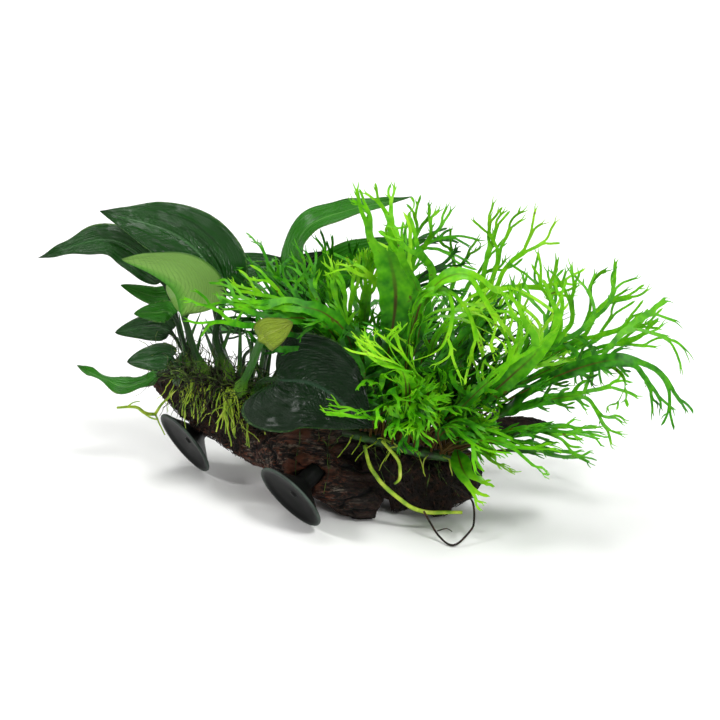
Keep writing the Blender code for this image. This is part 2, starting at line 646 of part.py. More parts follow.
def make_fern_leaf(name, row):
    """A ribbon blade on a thin stalk, whose end forks twice."""
    x_foot, points, half_width, fork_at, spread, facing = row
    path = LeafPath(stem_foot(FERN_RHIZOME, x_foot, points[0]) + [Vector(p) for p in points], facing)
    chance = random.Random(name)
    shape = bmesh.new()
    length = path.length / MM

    def vertex(s, x, h=0.0):
        return shape.verts.new(path.place(s * MM, x * MM, h * MM))

    stations = [
        (0.0, STALK_HALF_WIDTH), (0.24, STALK_HALF_WIDTH), (0.46, 1.25 * STALK_HALF_WIDTH),
        (0.62, 0.75 * half_width), (0.8, half_width), (1.0, 0.8 * half_width),
    ]
    rows = []
    for share, width in stations:
        s = share * fork_at * length
        rows.append([vertex(s, -width, 0.12 * width), vertex(s, 0.0), vertex(s, width, 0.12 * width)])
    for lower, upper in zip(rows, rows[1:]):
        shape.faces.new((lower[0], lower[1], upper[1], upper[0]))
        shape.faces.new((lower[1], lower[2], upper[2], upper[1]))

    def prong(left, right, start, heading, reach, width, level):
        """One prong from a pair of vertices, in the flat of the leaf, forking again while level lasts."""
        s = start[0] + reach * math.cos(heading)
        x = start[1] + reach * math.sin(heading)
        across = (-math.sin(heading), math.cos(heading))
        new_left = vertex(s - across[0] * width, x - across[1] * width)
        new_right = vertex(s + across[0] * width, x + across[1] * width)
        if level == 0:
            shape.faces.new((left, right, new_right, new_left))
            return
        middle = vertex(s, x)
        shape.faces.new((left, right, new_right, middle, new_left))
        for side, pair in ((-1, (new_left, middle)), (1, (middle, new_right))):
            bend = math.radians(spread) * 0.8 * side * chance.uniform(0.7, 1.2)
            offset = 0.5 * width * side
            next_start = (s + across[0] * offset, x + across[1] * offset)
            prong(*pair, next_start, heading + bend, reach * chance.uniform(0.75, 1.0), width * 0.4, level - 1)

    last = rows[-1]
    reach = 0.52 * (1 - fork_at) * length
    for side, pair in ((-1, (last[0], last[1])), (1, (last[1], last[2]))):
        heading = math.radians(spread) * 0.7 * side
        start = (fork_at * length, 0.5 * stations[-1][1] * side)
        prong(*pair, start, heading, reach * chance.uniform(0.85, 1.1), 0.36 * half_width, 1)
    bmesh.ops.recalc_face_normals(shape, faces=shape.faces)
    mesh = bpy.data.meshes.new(name)
    shape.to_mesh(mesh)
    shape.free()
    leaf = new_object(name, mesh)
    solidify = leaf.modifiers.new("thickness", "SOLIDIFY")
    solidify.thickness = FERN_THICKNESS * MM
    solidify.offset = 0.0
    finish(leaf, "fern_green")


def make_tube_part(name, stations, sides, step, material_name):
    """A rhizome or a root as a curve object."""
    finish(tube(name, stations, sides, step), material_name)


empty_scene()
PARTS = make_collection("planted_driftwood")
CUTTERS = make_collection("cutters")
MATERIALS = {name: make_material(name) for name in COLOURS}

make_driftwood()
for cup_name in CUPS:
    make_cup(cup_name)
make_tube_part("anubias_rhizome", ANUBIAS_RHIZOME, STEM_SIDES, STEM_RING_STEP, "rhizome_green")
make_tube_part("fern_rhizome", FERN_RHIZOME, STEM_SIDES, STEM_RING_STEP, "rhizome_green")
for root_name, (root_material, root_stations) in ROOTS.items():
    make_tube_part(root_name, root_stations, ROOT_SIDES, ROOT_RING_STEP, root_material)
for mat_name in ROOT_MATS:
    make_root_mat(mat_name)
for leaf_name in ANUBIAS_LEAVES:
    make_anubias_leaf(leaf_name)
for leaf_number, leaf_row in enumerate(FERN_LEAVES, start=1):
    make_fern_leaf("fern_leaf_%02d" % leaf_number, leaf_row)
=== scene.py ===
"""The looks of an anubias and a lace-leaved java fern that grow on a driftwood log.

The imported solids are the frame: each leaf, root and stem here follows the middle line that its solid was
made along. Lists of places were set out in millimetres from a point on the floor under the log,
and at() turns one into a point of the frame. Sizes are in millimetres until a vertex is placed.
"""
import math
import random

import bmesh
import bpy
from bpy.props import FloatProperty, FloatVectorProperty, IntProperty, PointerProperty
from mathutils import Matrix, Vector, noise
from mathutils.bvhtree import BVHTree


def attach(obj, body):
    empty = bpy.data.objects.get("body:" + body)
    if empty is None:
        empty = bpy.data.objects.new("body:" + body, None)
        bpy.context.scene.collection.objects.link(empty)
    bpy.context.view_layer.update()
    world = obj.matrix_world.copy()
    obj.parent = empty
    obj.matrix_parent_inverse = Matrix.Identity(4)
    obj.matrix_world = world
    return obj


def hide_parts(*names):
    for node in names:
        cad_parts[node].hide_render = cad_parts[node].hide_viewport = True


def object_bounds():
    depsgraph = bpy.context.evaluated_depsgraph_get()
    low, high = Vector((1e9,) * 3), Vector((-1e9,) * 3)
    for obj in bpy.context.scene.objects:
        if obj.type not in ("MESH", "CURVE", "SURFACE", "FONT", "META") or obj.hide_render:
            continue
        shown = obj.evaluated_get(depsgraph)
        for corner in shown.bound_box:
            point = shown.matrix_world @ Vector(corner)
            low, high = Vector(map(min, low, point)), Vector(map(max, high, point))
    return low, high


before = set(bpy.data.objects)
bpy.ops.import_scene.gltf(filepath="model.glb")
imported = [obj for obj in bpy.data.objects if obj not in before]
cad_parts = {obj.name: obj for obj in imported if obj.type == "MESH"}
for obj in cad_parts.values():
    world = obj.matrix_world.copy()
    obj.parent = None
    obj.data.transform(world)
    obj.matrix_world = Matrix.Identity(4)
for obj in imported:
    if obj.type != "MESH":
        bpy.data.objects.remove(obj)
CAD_LOW, CAD_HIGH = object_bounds()

bl_info = {
    "name": "Planted driftwood looks",
    "version": (1, 0, 0),
    "blender": (4, 5, 0),
    "location": "View3D > Sidebar > Plant",
    "description": "Dresses a driftwood log with its plants, roots and suction cups",
    "category": "Object",
}

MM = 0.001

# The middle of the whole plant in the listed places, in mm
MID_X = -2.0
MID_Y = -9.5

# The log's axis: x, y, z and radius in mm
LOG_AXIS = [
    (-105, 41, 47, 4.5), (-100, 37, 45, 9), (-91, 33, 43, 12.5), (-78, 24, 39, 15.5), (-62, 14, 34, 17.5),
    (-45, 4, 30, 18.5), (-28, -5, 27, 19), (-12, -11, 25, 18), (4, -15, 23, 17.5), (20, -19, 20, 17),
    (38, -22, 17, 16.5), (50, -23, 19, 12.5), (56, -24, 21, 7),
]
LIMBS = ("log_trunk", "log_right_limb", "log_front_limb", "log_side_branch")

# The suction cups: face centre in mm, and the way the face looks
CUPS = {
    "suction_cup_left": ((-88.9, 15.8, 16.43), (-0.713, -0.551, -0.435)),
    "suction_cup_front": ((-32.4, -45.4, 15.98), (-0.647, -0.586, -0.483)),
    "suction_cup_back": ((5.0, 11.0, 10.95), (0.0, 0.6, -0.8)),
}

# A cup's profile from the top of its neck to its nub: radius and height above the face, in mm
CUP_PROFILE = [
    (4.1, 19.5), (4.5, 19.1), (4.5, 14.0), (4.5, 10.2), (5.2, 9.2), (7.5, 7.5), (10.8, 5.4), (14.0, 3.3),
    (16.6, 1.9), (17.9, 1.25), (18.22, 0.8), (18.22, 0.3), (18.0, 0.02), (17.2, 0.0), (15.9, 0.05),
    (15.2, 0.55), (13.8, 1.2), (12.2, 1.6), (7.0, 2.3), (2.6, 2.75), (1.7, 2.6), (1.5, 2.1), (0.9, 1.9),
]

# The creeping stems: x, y, z and radius in mm
ANUBIAS_RHIZOME = [
    (-91, 15, 51, 3.2), (-82, 10, 53, 4.4), (-70, 2, 53, 4.6), (-58, -5, 51, 4.6), (-46, -9, 48, 3.6),
]
FERN_RHIZOME = [
    (-8, -26, 41, 2.2), (6, -29, 38.5, 2.7), (20, -31, 35, 2.7), (36, -33, 32, 2.7), (51, -31, 30, 2.0),
]

# The roots that hang free: x, y, z and radius in mm
FREE_ROOTS = {
    "fern_long_root": ("pale_root", [
        (2, -40, 40, 0.8), (5, -45, 31, 0.9), (11, -47, 23, 1.0), (19, -48, 16, 1.0), (28, -49, 11, 1.0),
        (47, -49, 10, 0.8),
    ]),
    "fern_curled_root": ("pale_root", [
        (10, -44, 44, 0.7), (14, -46, 40, 0.8), (18, -46, 33, 0.8), (18, -46, 26, 0.8), (16, -45, 23, 0.6),
    ]),
    "fern_wire_root": ("dark_root", [
        (29, -53, 13, 0.5), (36, -58, 3, 0.5), (42, -63, 1, 0.5), (51, -57, 6, 0.5), (52, -50, 13, 0.5),
        (49, -47, 19, 0.5), (43, -46, 23, 0.5),
    ]),
    "anubias_far_root": ("pale_root", [
        (-122, 18, 35, 0.6), (-113, 19, 35, 0.8), (-108, 20, 31, 0.9), (-104, 24, 29, 0.9),
    ]),
}

# Side hairs of the free roots: the same four numbers for each point
ROOT_HAIRS = {
    "fern_long_root": [],
    "fern_curled_root": [],
    "fern_wire_root": [
        [(42, -47, 23, 0.35), (47, -50, 19, 0.3), (52, -52, 19, 0.25)],
        [(35, -57, 5, 0.3), (39, -57, 6, 0.25), (42, -58, 5, 0.2)],
    ],
    "anubias_far_root": [
        [(-109, 19, 32, 0.5), (-106, 18, 30, 0.45), (-102, 17, 29, 0.4)],
        [(-104, 24, 29, 0.8), (-101, 22, 34, 0.7), (-97, 20, 39, 0.6), (-92, 19, 45, 0.5)],
        [(-117, 19, 35, 0.4), (-114, 17, 38, 0.35), (-110, 16, 39, 0.25)],
        [(-104, 24, 29, 0.5), (-101, 18, 26, 0.4), (-98, 14, 22, 0.3)],
    ],
}

# The steps in which a curve is followed from one of its points to the next, and the samples of a stem
SPAN_STEPS = 12
STEM_SAMPLES = 60

# How far above a creeping stem's skin a stalk has its first two points, in mm
FOOT_REACHES = (0.6, 5.0)

# How high and how wide the bumps of a creeping stem are, in mm
STEM_BUMPS = 0.35
STEM_BUMP_SIZE = 2.5

# The bark: how wide the noise leaves a crack and a split open, how far the limbs are swollen to join them,
# and up to what height a vertex stands on the floor, in mm
CRACK_WIDTH = 0.07
SPLIT_WIDTH = 0.10
SWELL = 0.2
ON_FLOOR = 0.1

# Up to what height a vertex of a cup belongs to its lip, in mm
LIP_HEIGHT = 1.0

# Free roots: from one place to the next, how far they sway, and how wide the noise is that sways them, in mm
FREE_ROOT_STEP = 1.5
FREE_ROOT_SWAY = 0.5
SWAY_SIZE = 6.25

# Other roots: the steps that they grow by, along the log and in the open, how far they keep off the log,
# and from how far out the log's surface is looked for, in mm; and how much thinner their ends are
CLINGING_STEP = 2.2
GROWING_STEP = 1.5
OFF_LOG = 0.4
FAR_OUT = 60
TAPER = 0.6

# The ways a blade's upper side can look
FRONT = (0.0, -0.85, 0.5)
UP = (0.0, -0.25, 1.0)
BACK = (0.0, 0.6, 0.8)
LEFT_UP = (-0.6, -0.4, 0.7)
UNDER = (0.2, 0.55, 0.8)

# Anubias leaves: place along the rhizome, then bend, blade base, belly and tip in mm, half width of the
# blade, radius of the petiole, how far the base lobes run back, how steeply the two halves fold up, and
# the way the upper side looks
ANUBIAS_LEAVES = {
    "top": (-64, [(-69, 2, 79), (-66, 8, 101), (-86, 15, 124), (-122, 9, 138)], 17.5, 1.9, 0.5, 0.12, FRONT),
    "pale": (-74, [(-79, -1, 72), (-83, -6, 92), (-88, -9, 108), (-109, -13, 121)],
        15.5, 1.8, 0.4, 0.8, UNDER),
    "far_left": (-83, [(-87, 14, 72), (-96, 20, 101), (-119, 16, 122), (-152, 6, 116)],
        9, 1.4, 0.4, 0.2, FRONT),
    "back": (-67, [(-69, 24, 69), (-73, 34, 94), (-58, 40, 100), (-29, 38, 105)], 9, 1.3, 0.3, 0.2, FRONT),
    "arching": (-51, [(-45, 14, 70), (-34, 24, 99), (-24, 30, 126), (25, 22, 142)],
        9, 1.4, 0.4, 0.3, LEFT_UP),
    "dark": (-57, [(-49, 24, 66), (-39, 44, 81), (-29, 50, 94), (-5, 50, 108)], 11, 1.2, 0.3, 0.2, FRONT),
    "striped": (-47, [(-34, 14, 70), (-24, 20, 91), (-5, 24, 109), (34, 26, 120)],
        10, 1.3, 0.3, 0.25, FRONT),
    "olive": (-56, [(-50, -30, 74), (-43, -48, 94), (-36, -50, 99), (-29, -51, 103)],
        6.5, 2.1, 0.2, 0.1, FRONT),
    "front": (-49, [(-45, -23, 65), (-37, -30, 68), (-18, -41, 69), (6, -51, 53)],
        23, 1.7, 1.25, 0.2, FRONT),
    "small_1": (-87, [(-85, 22, 69), (-91, 27, 89), (-102, 26, 91), (-117, 22, 98)],
        4.5, 1.1, 0.3, 0.3, FRONT),
    "small_2": (-78, [(-84, 10, 68), (-90, 8, 87), (-98, 6, 89), (-108, 4, 89)], 5, 1.0, 0.3, 0.2, FRONT),
    "small_3": (-82, [(-87, 26, 60), (-95, 28, 72), (-107, 28, 74), (-122, 26, 72)],
        6.5, 1.1, 0.3, 0.2, FRONT),
    "small_4": (-85, [(-88, 6, 59), (-92, 6, 66), (-102, 4, 66), (-112, 0, 66)], 6.5, 1.0, 0.3, 0.2, FRONT),
    "small_5": (-90, [(-96, 16, 56), (-101, 18, 52), (-118, 14, 48), (-139, 12, 60)], 6, 1.1, 0.3, 0.2, UP),
    "low_1": (-71, [(-72, 24, 62), (-74, 42, 66), (-66, 54, 66), (-54, 62, 68)], 8, 1.1, 0.3, 0.2, UP),
    "low_2": (-62, [(-57, 22, 62), (-46, 34, 64), (-32, 38, 66), (-16, 40, 68)], 7, 1.0, 0.3, 0.2, FRONT),
}

# Lopsided leaves: by what share one half is wider, and the other half's lobe longer, than the average,
# and how soon the lobes run out, which is SLOW_LOBES on the others
SLOW_LOBES = 1.5
LOPSIDED = {"front": (-0.04, 0.5, 4.0), "pale": (0.15, 0.0, SLOW_LOBES)}

# How high the margin of a leaf waves and how deep its face is crinkled, in mm, where they stand out
MARGIN_WAVES = {"far_left": 1.6, "front": 1.3, "top": 1.0, "small_5": 1.4}
CRINKLES = {"front": 0.34, "top": 0.16, "far_left": 0.12}

# The leaves that aren't dark green: one shows its pale underside, one is old, and some are fresh
LEAF_SLOTS = {"pale": "anubias_pale_green", "olive": "anubias_olive"}
FRESH_LEAVES = ("arching", "striped", "small_1", "small_2", "small_5", "low_1")
# Three leaves get a darker face: partly the colour of old leaves, partly painted shade, which keeps the
# front leaf dark though it faces up into the light
OLD_AND_SHADED_LEAVES = ("front", "dark", "low_2")

# Fern leaves: place along the rhizome, then points along the leaf to its tips in mm, half width of the
# blade, the share of the length where it forks, how far the forks spread in degrees, the way the upper
# side looks, and its tone, from 0 for dark to 1 for bright: partly the frond's age, partly painted shade
# on fronds that stand low or deep in the fern
FERN_LEAVES = [
    (6, [(13, -26, 80), (16, -28, 109), (11, -26, 133), (6, -20, 149), (5, -16, 156)],
     8.0, 0.74, 26, FRONT, 0.7),
    (12, [(21, -6, 76), (23, 0, 111), (28, 2, 127), (34, 4, 146)], 2.6, 0.74, 24, FRONT, 0.6),
    (2, [(1, -14, 79), (3, -12, 100), (5, -8, 124)], 2.2, 0.8, 12, FRONT, 0.7),
    (-1, [(-7, -2, 73), (-9, 0, 92), (-11, 3, 106), (-12, 6, 126)], 2.6, 0.7, 22, FRONT, 0.3),
    (-3, [(-4, -28, 84), (-15, -34, 101), (-32, -38, 108), (-57, -34, 121)], 3.8, 0.68, 30, FRONT, 0.55),
    (-6, [(-9, -20, 80), (-22, -32, 98), (-46, -44, 101), (-78, -40, 101)], 3.4, 0.68, 15, FRONT, 0.5),
    (0, [(-6, -15, 84), (-20, -19, 100), (-28, -19, 108), (-34, -16, 124)], 2.8, 0.68, 30, FRONT, 0.4),
    (16, [(24, -44, 88), (31, -52, 118), (46, -54, 125), (60, -54, 108), (64, -52, 88)],
     5.0, 0.72, 24, UP, 0.9),
    (15, [(16, 6, 66), (20, 12, 94), (32, 16, 110), (48, 18, 108)], 4.0, 0.72, 22, FRONT, 0.2),
    (25, [(46, 2, 70), (58, 9, 98), (67, 12, 112), (80, 14, 134)], 3.0, 0.68, 26, FRONT, 0.75),
    (29, [(50, -10, 78), (62, -7, 102), (76, -6, 116), (94, -4, 132)], 2.8, 0.68, 30, FRONT, 0.9),
    (31, [(60, -22, 64), (84, -27, 82), (95, -27, 98), (99, -25, 126)], 2.8, 0.7, 28, FRONT, 0.7),
    (36, [(66, -12, 60), (94, -12, 76), (112, -12, 88), (132, -10, 108)], 2.4, 0.72, 30, FRONT, 0.65),
    (40, [(72, -2, 52), (101, 2, 66), (120, 3, 73), (144, 5, 82)], 2.2, 0.74, 26, FRONT, 0.6),
    (38, [(72, -33, 62), (99, -40, 78), (119, -42, 82), (132, -42, 72), (138, -42, 55)],
     3.6, 0.78, 14, FRONT, 0.4),
    (46, [(76, -10, 46), (105, -8, 52), (120, -8, 50), (135, -8, 48)], 2.6, 0.72, 24, FRONT, 0.6),
    (27, [(50, -44, 60), (66, -56, 80), (78, -60, 98), (75, -58, 126)], 4.5, 0.72, 24, FRONT, 0.7),
    (34, [(54, -36, 48), (70, -46, 62), (84, -50, 72)], 6.5, 0.78, 20, UP, 0.3),
    (41, [(58, -48, 46), (76, -60, 56), (90, -63, 58), (106, -62, 56)], 3.2, 0.7, 26, UP, 0.5),
    (49, [(62, -42, 38), (80, -50, 42), (92, -52, 40), (104, -52, 36)], 3.0, 0.7, 24, UP, 0.5),
    (44, [(44, -46, 40), (46, -56, 35), (50, -60, 31), (58, -62, 25)], 4.8, 0.7, 28, UP, 0.9),
    (37, [(46, -56, 50), (60, -68, 54), (72, -72, 50), (86, -72, 44)], 3.0, 0.72, 24, UP, 0.7),
    (18, [(22, -50, 64), (20, -64, 84), (12, -70, 96), (6, -68, 106)], 3.4, 0.7, 24, UP, 0.8),
    (10, [(10, -46, 56), (4, -60, 62), (-2, -64, 66), (-14, -62, 71)], 2.6, 0.68, 26, UP, 0.7),
    (4, [(0, 6, 64), (0, 26, 78), (2, 44, 84), (0, 60, 80)], 3.6, 0.7, 26, BACK, 0.4),
    (21, [(30, 10, 62), (36, 32, 78), (40, 48, 83), (42, 64, 77)], 3.6, 0.7, 26, BACK, 0.5),
    (43, [(66, 10, 50), (84, 28, 62), (98, 42, 68), (110, 54, 65)], 3.6, 0.7, 26, BACK, 0.5),
]

# Bunches of young fronds: the numbers of the grown ones that they grow along, and the lowest and the
# highest spread of their forks in degrees
YOUNG_FRONDS = {
    "young_fronds_left": ((3, 4, 5, 7), (10, 18)),
    "young_fronds_middle": ((1, 2, 8, 9, 23), (22, 36)),
    "young_fronds_upper": ((10, 11, 12, 17), (22, 38)),
    "young_fronds_right": ((13, 15, 19), (22, 38)),
    "young_fronds_low": ((18, 21, 22), (22, 34)),
    "young_fronds_back": ((25, 26, 27), (22, 34)),
}

# Short fronds in between: how many, between which places along the rhizome they stand, the low and the
# high corner of the box their tips lie in, in mm, and the lowest and the highest tone and spread
TANGLES = {
    # Their tones are partly the fronds' age and partly painted shade: lower for fronds deep in the fern, low
    # in front and behind the petioles
    "tangle_front": (20, (-2, 44), (2, -68, 44), (62, -44, 88), (0.35, 0.8), (20, 36)),
    "tangle_inner": (30, (-4, 46), (2, -46, 52), (74, -6, 100), (0.1, 0.5), (20, 36)),
    "tangle_left": (16, (-8, 6), (-68, -10, 92), (-24, 24, 110), (0.1, 0.45), (8, 18)),
}

# How a fern leaf's half width grows along the way to its fork: share of the way, and share of the blade
FERN_OUTLINE = [(0.36, 0.10), (0.46, 0.28), (0.62, 0.75), (0.8, 1.0), (1.0, 0.8)]

# Fern leaves of a smaller half width than this, in mm, have prongs along their margins
SLENDER = 4

# The stalk of a fern leaf: how many sides it has, and from one ring of vertices to the next in mm
STALK_SIDES = 6
STALK_ROW = 2.4

# Roots that cling to the log, which start near its top and run down: the ranges of x in mm, of the turn
# from the top towards the front in radians, of length and radius in mm, and how far off the log they lie
CLINGING_ROOTS = {
    "anubias_root_felt": ((-104, -58), (0.1, 1.5), (10, 34), (0.16, 0.42), 1.1),
    "fern_root_felt": ((14, 55), (0.3, 2.2), (10, 34), (0.14, 0.36), 1.1),
    "fern_creeping_roots": ((-30, 50), (0.2, 1.0), (8, 22), (0.2, 0.35), 1.4),
}
CREEPING_COUNT = 26

# Roots that break out of a creeping stem: the stem, how many, the same four ranges, and how much they
# sway and sag at each step. Fresh roots of the anubias hang over the log, many thin ones and some thick
# ones; wiry old ones stand about its stem, and brown ones hang between the fresh ones.
STEM_ROOTS = {
    "anubias_hanging_roots": [
        (ANUBIAS_RHIZOME, 44, (-92, -56), (0.7, 2.2), (8, 30), (0.25, 0.42), 0.4, 0.18),
        (ANUBIAS_RHIZOME, 34, (-86, -54), (0.8, 2.0), (10, 30), (0.5, 0.85), 0.26, 0.22),
    ],
    "anubias_wiry_roots": [
        (ANUBIAS_RHIZOME, 230, (-92, -42), (-1.0, 1.2), (12, 32), (0.22, 0.42), 0.42, 0.03),
    ],
    "anubias_brown_roots": [
        (ANUBIAS_RHIZOME, 170, (-92, -44), (0.0, 2.2), (10, 30), (0.22, 0.4), 0.45, 0.2),
    ],
    "fern_short_roots": [
        (FERN_RHIZOME, 14, (-6, 44), (0.9, 2.0), (8, 20), (0.3, 0.5), 0.2, 0.12),
    ],
}

# The floor: its width in metres, and how far it lies under the plant in mm
FLOOR_SIZE = 14.0
FLOOR_GAP = 0.1

# Each lamp: the way that its light comes from, its strength and how wide it looks in degrees
LAMPS = {
    "key": ((-0.35, 0.10, 1.0), 1.1, 24),
    "front": ((0.37, -0.45, 0.81), 1.6, 12),
    "low": ((0.45, -0.78, 0.42), 0.6, 10),
    "left": ((-0.74, -0.03, 0.67), 1.1, 11),
    "right": ((0.8, -0.2, 1.0), 0.5, 40),
    "back": ((0.2, 0.9, 0.9), 0.8, 30),
}


def colour(name, description, hex_code):
    """A colour property with its default as six hex digits."""
    return FloatVectorProperty(name=name, description=description, default=linear(hex_code), size=4,
                               min=0.0, max=1.0, subtype="COLOR")


def distance(name, description, millimetres):
    """A length property with its default in mm."""
    return FloatProperty(name=name, description=description, default=millimetres * MM, min=0.0,
                         unit="LENGTH", subtype="DISTANCE")


def amount(name, description, default, least, most):
    """A property for a number of things."""
    return IntProperty(name=name, description=description, default=default, min=least, max=most)


def linear(hex_code):
    """An sRGB colour, written as six hex digits, as linear red, green, blue and alpha."""
    channels = [int(hex_code[i:i + 2], 16) / 255 for i in (0, 2, 4)]
    return [c / 12.92 if c <= 0.04045 else ((c + 0.055) / 1.055) ** 2.4 for c in channels] + [1.0]


class DriftwoodSettings(bpy.types.PropertyGroup):
    """The log and its bark."""

    grid: distance("Grid", "Size of the grid that joins the limbs into one body", 0.65)
    crack_depth: distance("Crack depth", "How deep the cracks along the grain go", 0.9)
    flake_depth: distance("Flake depth", "How far the flakes of bark stand out", 0.65)
    bark: colour("Bark", "Wet black-brown bark", "0f0906")
    rust: colour("Rust", "Red-brown patches that have lost their bark", "552f1e")


class CupSettings(bpy.types.PropertyGroup):
    """The suction cups."""

    steps: amount("Steps", "Facets around a cup", 72, 12, 256)
    rubber: colour("Rubber", "Black moulded rubber", "0a0b0a")
    lip: colour("Lip", "Worn green-grey rim of a cup", "5d6b62")


class AnubiasSettings(bpy.types.PropertyGroup):
    """The broad-leaved plant."""

    thickness: distance("Thickness", "Thickness of a blade between its veins", 0.5)
    column_width: distance("Column width", "Width of a face across a blade", 0.9)
    vein_spacing: distance("Vein spacing", "From one side vein to the next along the midrib", 3.0)
    vein_depth: distance("Vein depth", "How deep a side vein is sunk", 0.07)
    face: colour("Face", "Upper side of a grown leaf", "123f0c")
    # The old face is darker partly as old leaves are, partly as painted shade
    old: colour("Old face", "Upper side of the oldest leaves", "071e07")
    fresh: colour("Fresh face", "Upper side of a younger leaf", "28700c")
    underside: colour("Underside", "Lower side of a grown leaf", "7cab4a")
    olive: colour("Olive", "Both sides of an old leaf", "6f841a")
    shoots: amount("Shoots", "Young leaves that are still rolled up", 16, 1, 99)
    petiole: colour("Petiole", "Leaf stalk", "1c4410")


class FernSettings(bpy.types.PropertyGroup):
    """The lace-leaved java fern."""

    thickness: distance("Thickness", "Thickness of a frond", 0.32)
    row_step: distance("Row step", "Distance between two rows of a frond", 1.25)
    young: amount("Young fronds", "Young fronds beside each grown one", 2, 0, 6)
    midrib: colour("Midrib", "Brown midrib and stalk", "4a3414")


class RootSettings(bpy.types.PropertyGroup):
    """The roots of both plants."""

    strands: amount("Strands", "Hair roots in each mat", 260, 0, 2000)


class StageSettings(bpy.types.PropertyGroup):
    """The floor, the lights and the camera."""

    camera_distance: distance("Camera distance", "From the camera to the middle of the plant", 620)
    aim_height: distance("Aim height", "Height of the point that the camera looks at", 67)
    elevation: FloatProperty(name="Elevation", description="How far the camera looks down",
                             default=math.radians(20), subtype="ANGLE")
    lens: FloatProperty(name="Lens", description="Focal length of the camera in mm", default=64.58, min=1.0)
    floor: colour("Floor", "White paper under the plant", "f7f7f6")
    light: FloatProperty(name="Light", description="Strength of the sky around the plant", default=1.0,
                         min=0.0)


def at(place):
    """A listed place in mm as a point of the frame in metres."""
    x, y, z = place
    return Vector((x - MID_X, y - MID_Y, z)) * MM


def per(millimetres):
    """The scale that gives a texture's pattern a size in mm."""
    return 1.0 / (millimetres * MM)


def deselect_all():
    """Leave edit mode and select nothing."""
    if bpy.context.object and bpy.context.object.mode != "OBJECT":
        bpy.ops.object.mode_set(mode="OBJECT")
    bpy.ops.object.select_all(action="DESELECT")


def pick(thing):
    """Select one object alone and make it active."""
    deselect_all()
    thing.select_set(True)
    bpy.context.view_layer.objects.active = thing


def new_object(name, data):
    """Put a mesh or a curve into the scene and pick it."""
    thing = bpy.data.objects.new(name, data)
    bpy.context.scene.collection.objects.link(thing)
    pick(thing)
    return thing


def write_mesh(name, shape):
    """Turn a finished shape into a mesh object."""
    mesh = bpy.data.meshes.new(name)
    shape.to_mesh(mesh)
    shape.free()
    return new_object(name, mesh)


def apply_modifier(thing, kind, **settings):
    """Add a modifier with its settings and apply it."""
    pick(thing)
    modifier = thing.modifiers.new(kind.lower(), kind)
    for key, value in settings.items():
        setattr(modifier, key, value)
    bpy.ops.object.modifier_apply(modifier=modifier.name)


def dress(thing, material, slot, *nodes):
    """Give a piece its material and its place on the root body, and hide what it stands for; the slot is not
    used.
    """
    thing.data.materials.clear()
    thing.data.materials.append(material)
    for polygon in thing.data.polygons:
        polygon.use_smooth = True
    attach(thing, "root")
    if nodes:
        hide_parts(*nodes)


def smooth_path(points, count):
    """Even samples of a Catmull-Rom curve through points, each a vector of any length."""
    points = [Vector(p) for p in points]
    ends = [2 * points[0] - points[1]] + points + [2 * points[-1] - points[-2]]
    fine = []
    for i in range(1, len(ends) - 2):
        a, b, c, d = ends[i - 1:i + 3]
        for step in range(SPAN_STEPS):
            t = step / SPAN_STEPS
            fine.append(0.5 * (2 * b + (c - a) * t + (2 * a - 5 * b + 4 * c - d) * t ** 2
                               + (3 * b - a - 3 * c + d) * t ** 3))
    fine.append(points[-1])
    lengths = [0.0]
    for a, b in zip(fine, fine[1:]):
        lengths.append(lengths[-1] + (b - a).length)
    samples = []
    place = 0
    for i in range(count):
        target = lengths[-1] * i / (count - 1)
        while place < len(fine) - 2 and lengths[place + 1] < target:
            place += 1
        span = lengths[place + 1] - lengths[place]
        samples.append(fine[place].lerp(fine[place + 1], (target - lengths[place]) / span))
    return samples


def stem_foot(rhizome, x, towards):
    """The first two points of a leaf stalk, which leaves a creeping stem at some x, square to it."""
    samples = smooth_path(rhizome, STEM_SAMPLES)
    i = min(range(1, STEM_SAMPLES - 1), key=lambda k: abs(samples[k][0] - x))
    middle = samples[i].to_3d()
    along = (samples[i + 1].to_3d() - samples[i - 1].to_3d()).normalized()
    away = Vector(towards) - middle
    away -= along * away.dot(along)
    away.normalize()
    return [middle + away * (samples[i][3] + reach) for reach in FOOT_REACHES]


def arc_share(points, index):
    """The share of a path's length at which it reaches one of its points."""
    lengths = [(Vector(b) - Vector(a)).length for a, b in zip(points, points[1:])]
    return sum(lengths[:index]) / sum(lengths)


def between(table, x):
    """Read a table of pairs at x, on straight lines from one pair to the next."""
    if x <= table[0][0]:
        return table[0][1]
    for (x0, y0), (x1, y1) in zip(table, table[1:]):
        if x <= x1:
            return y0 + (y1 - y0) * (x - x0) / (x1 - x0)
    return table[-1][1]


class LeafPath:
    """The middle line of a leaf, with its upper side turned to look one way."""

    SAMPLES = 49

    def __init__(self, points, facing):
        self.samples = [at(p) for p in smooth_path(points, self.SAMPLES)]
        self.facing = Vector(facing).normalized()
        self.length = sum((b - a).length for a, b in zip(self.samples, self.samples[1:]))

    def place(self, s, x, h=0.0, start=0.0):
        """The point s along the leaf, x to its side and h above its upper side, all in metres.

        Before the start of its blade and past its tip, the leaf goes straight on.
        """
        count = len(self.samples) - 1
        on_path = min(max(s, start), self.length)
        t = on_path / self.length * count
        i = min(int(t), count - 1)
        middle = self.samples[i].lerp(self.samples[i + 1], t - i)
        along = self.along(t)
        side = along.cross(self.facing).normalized()
        above = side.cross(along)
        return middle + along * (s - on_path) + side * x + above * h

    def along(self, t):
        """The way the leaf runs at a place between its samples."""
        count = len(self.samples) - 1
        i = min(int(t), count - 1)
        ways = []
        for k in (i, i + 1):
            before = self.samples[max(k - 1, 0)]
            after = self.samples[min(k + 1, count)]
            ways.append((after - before).normalized())
        return ways[0].lerp(ways[1], t - i).normalized()


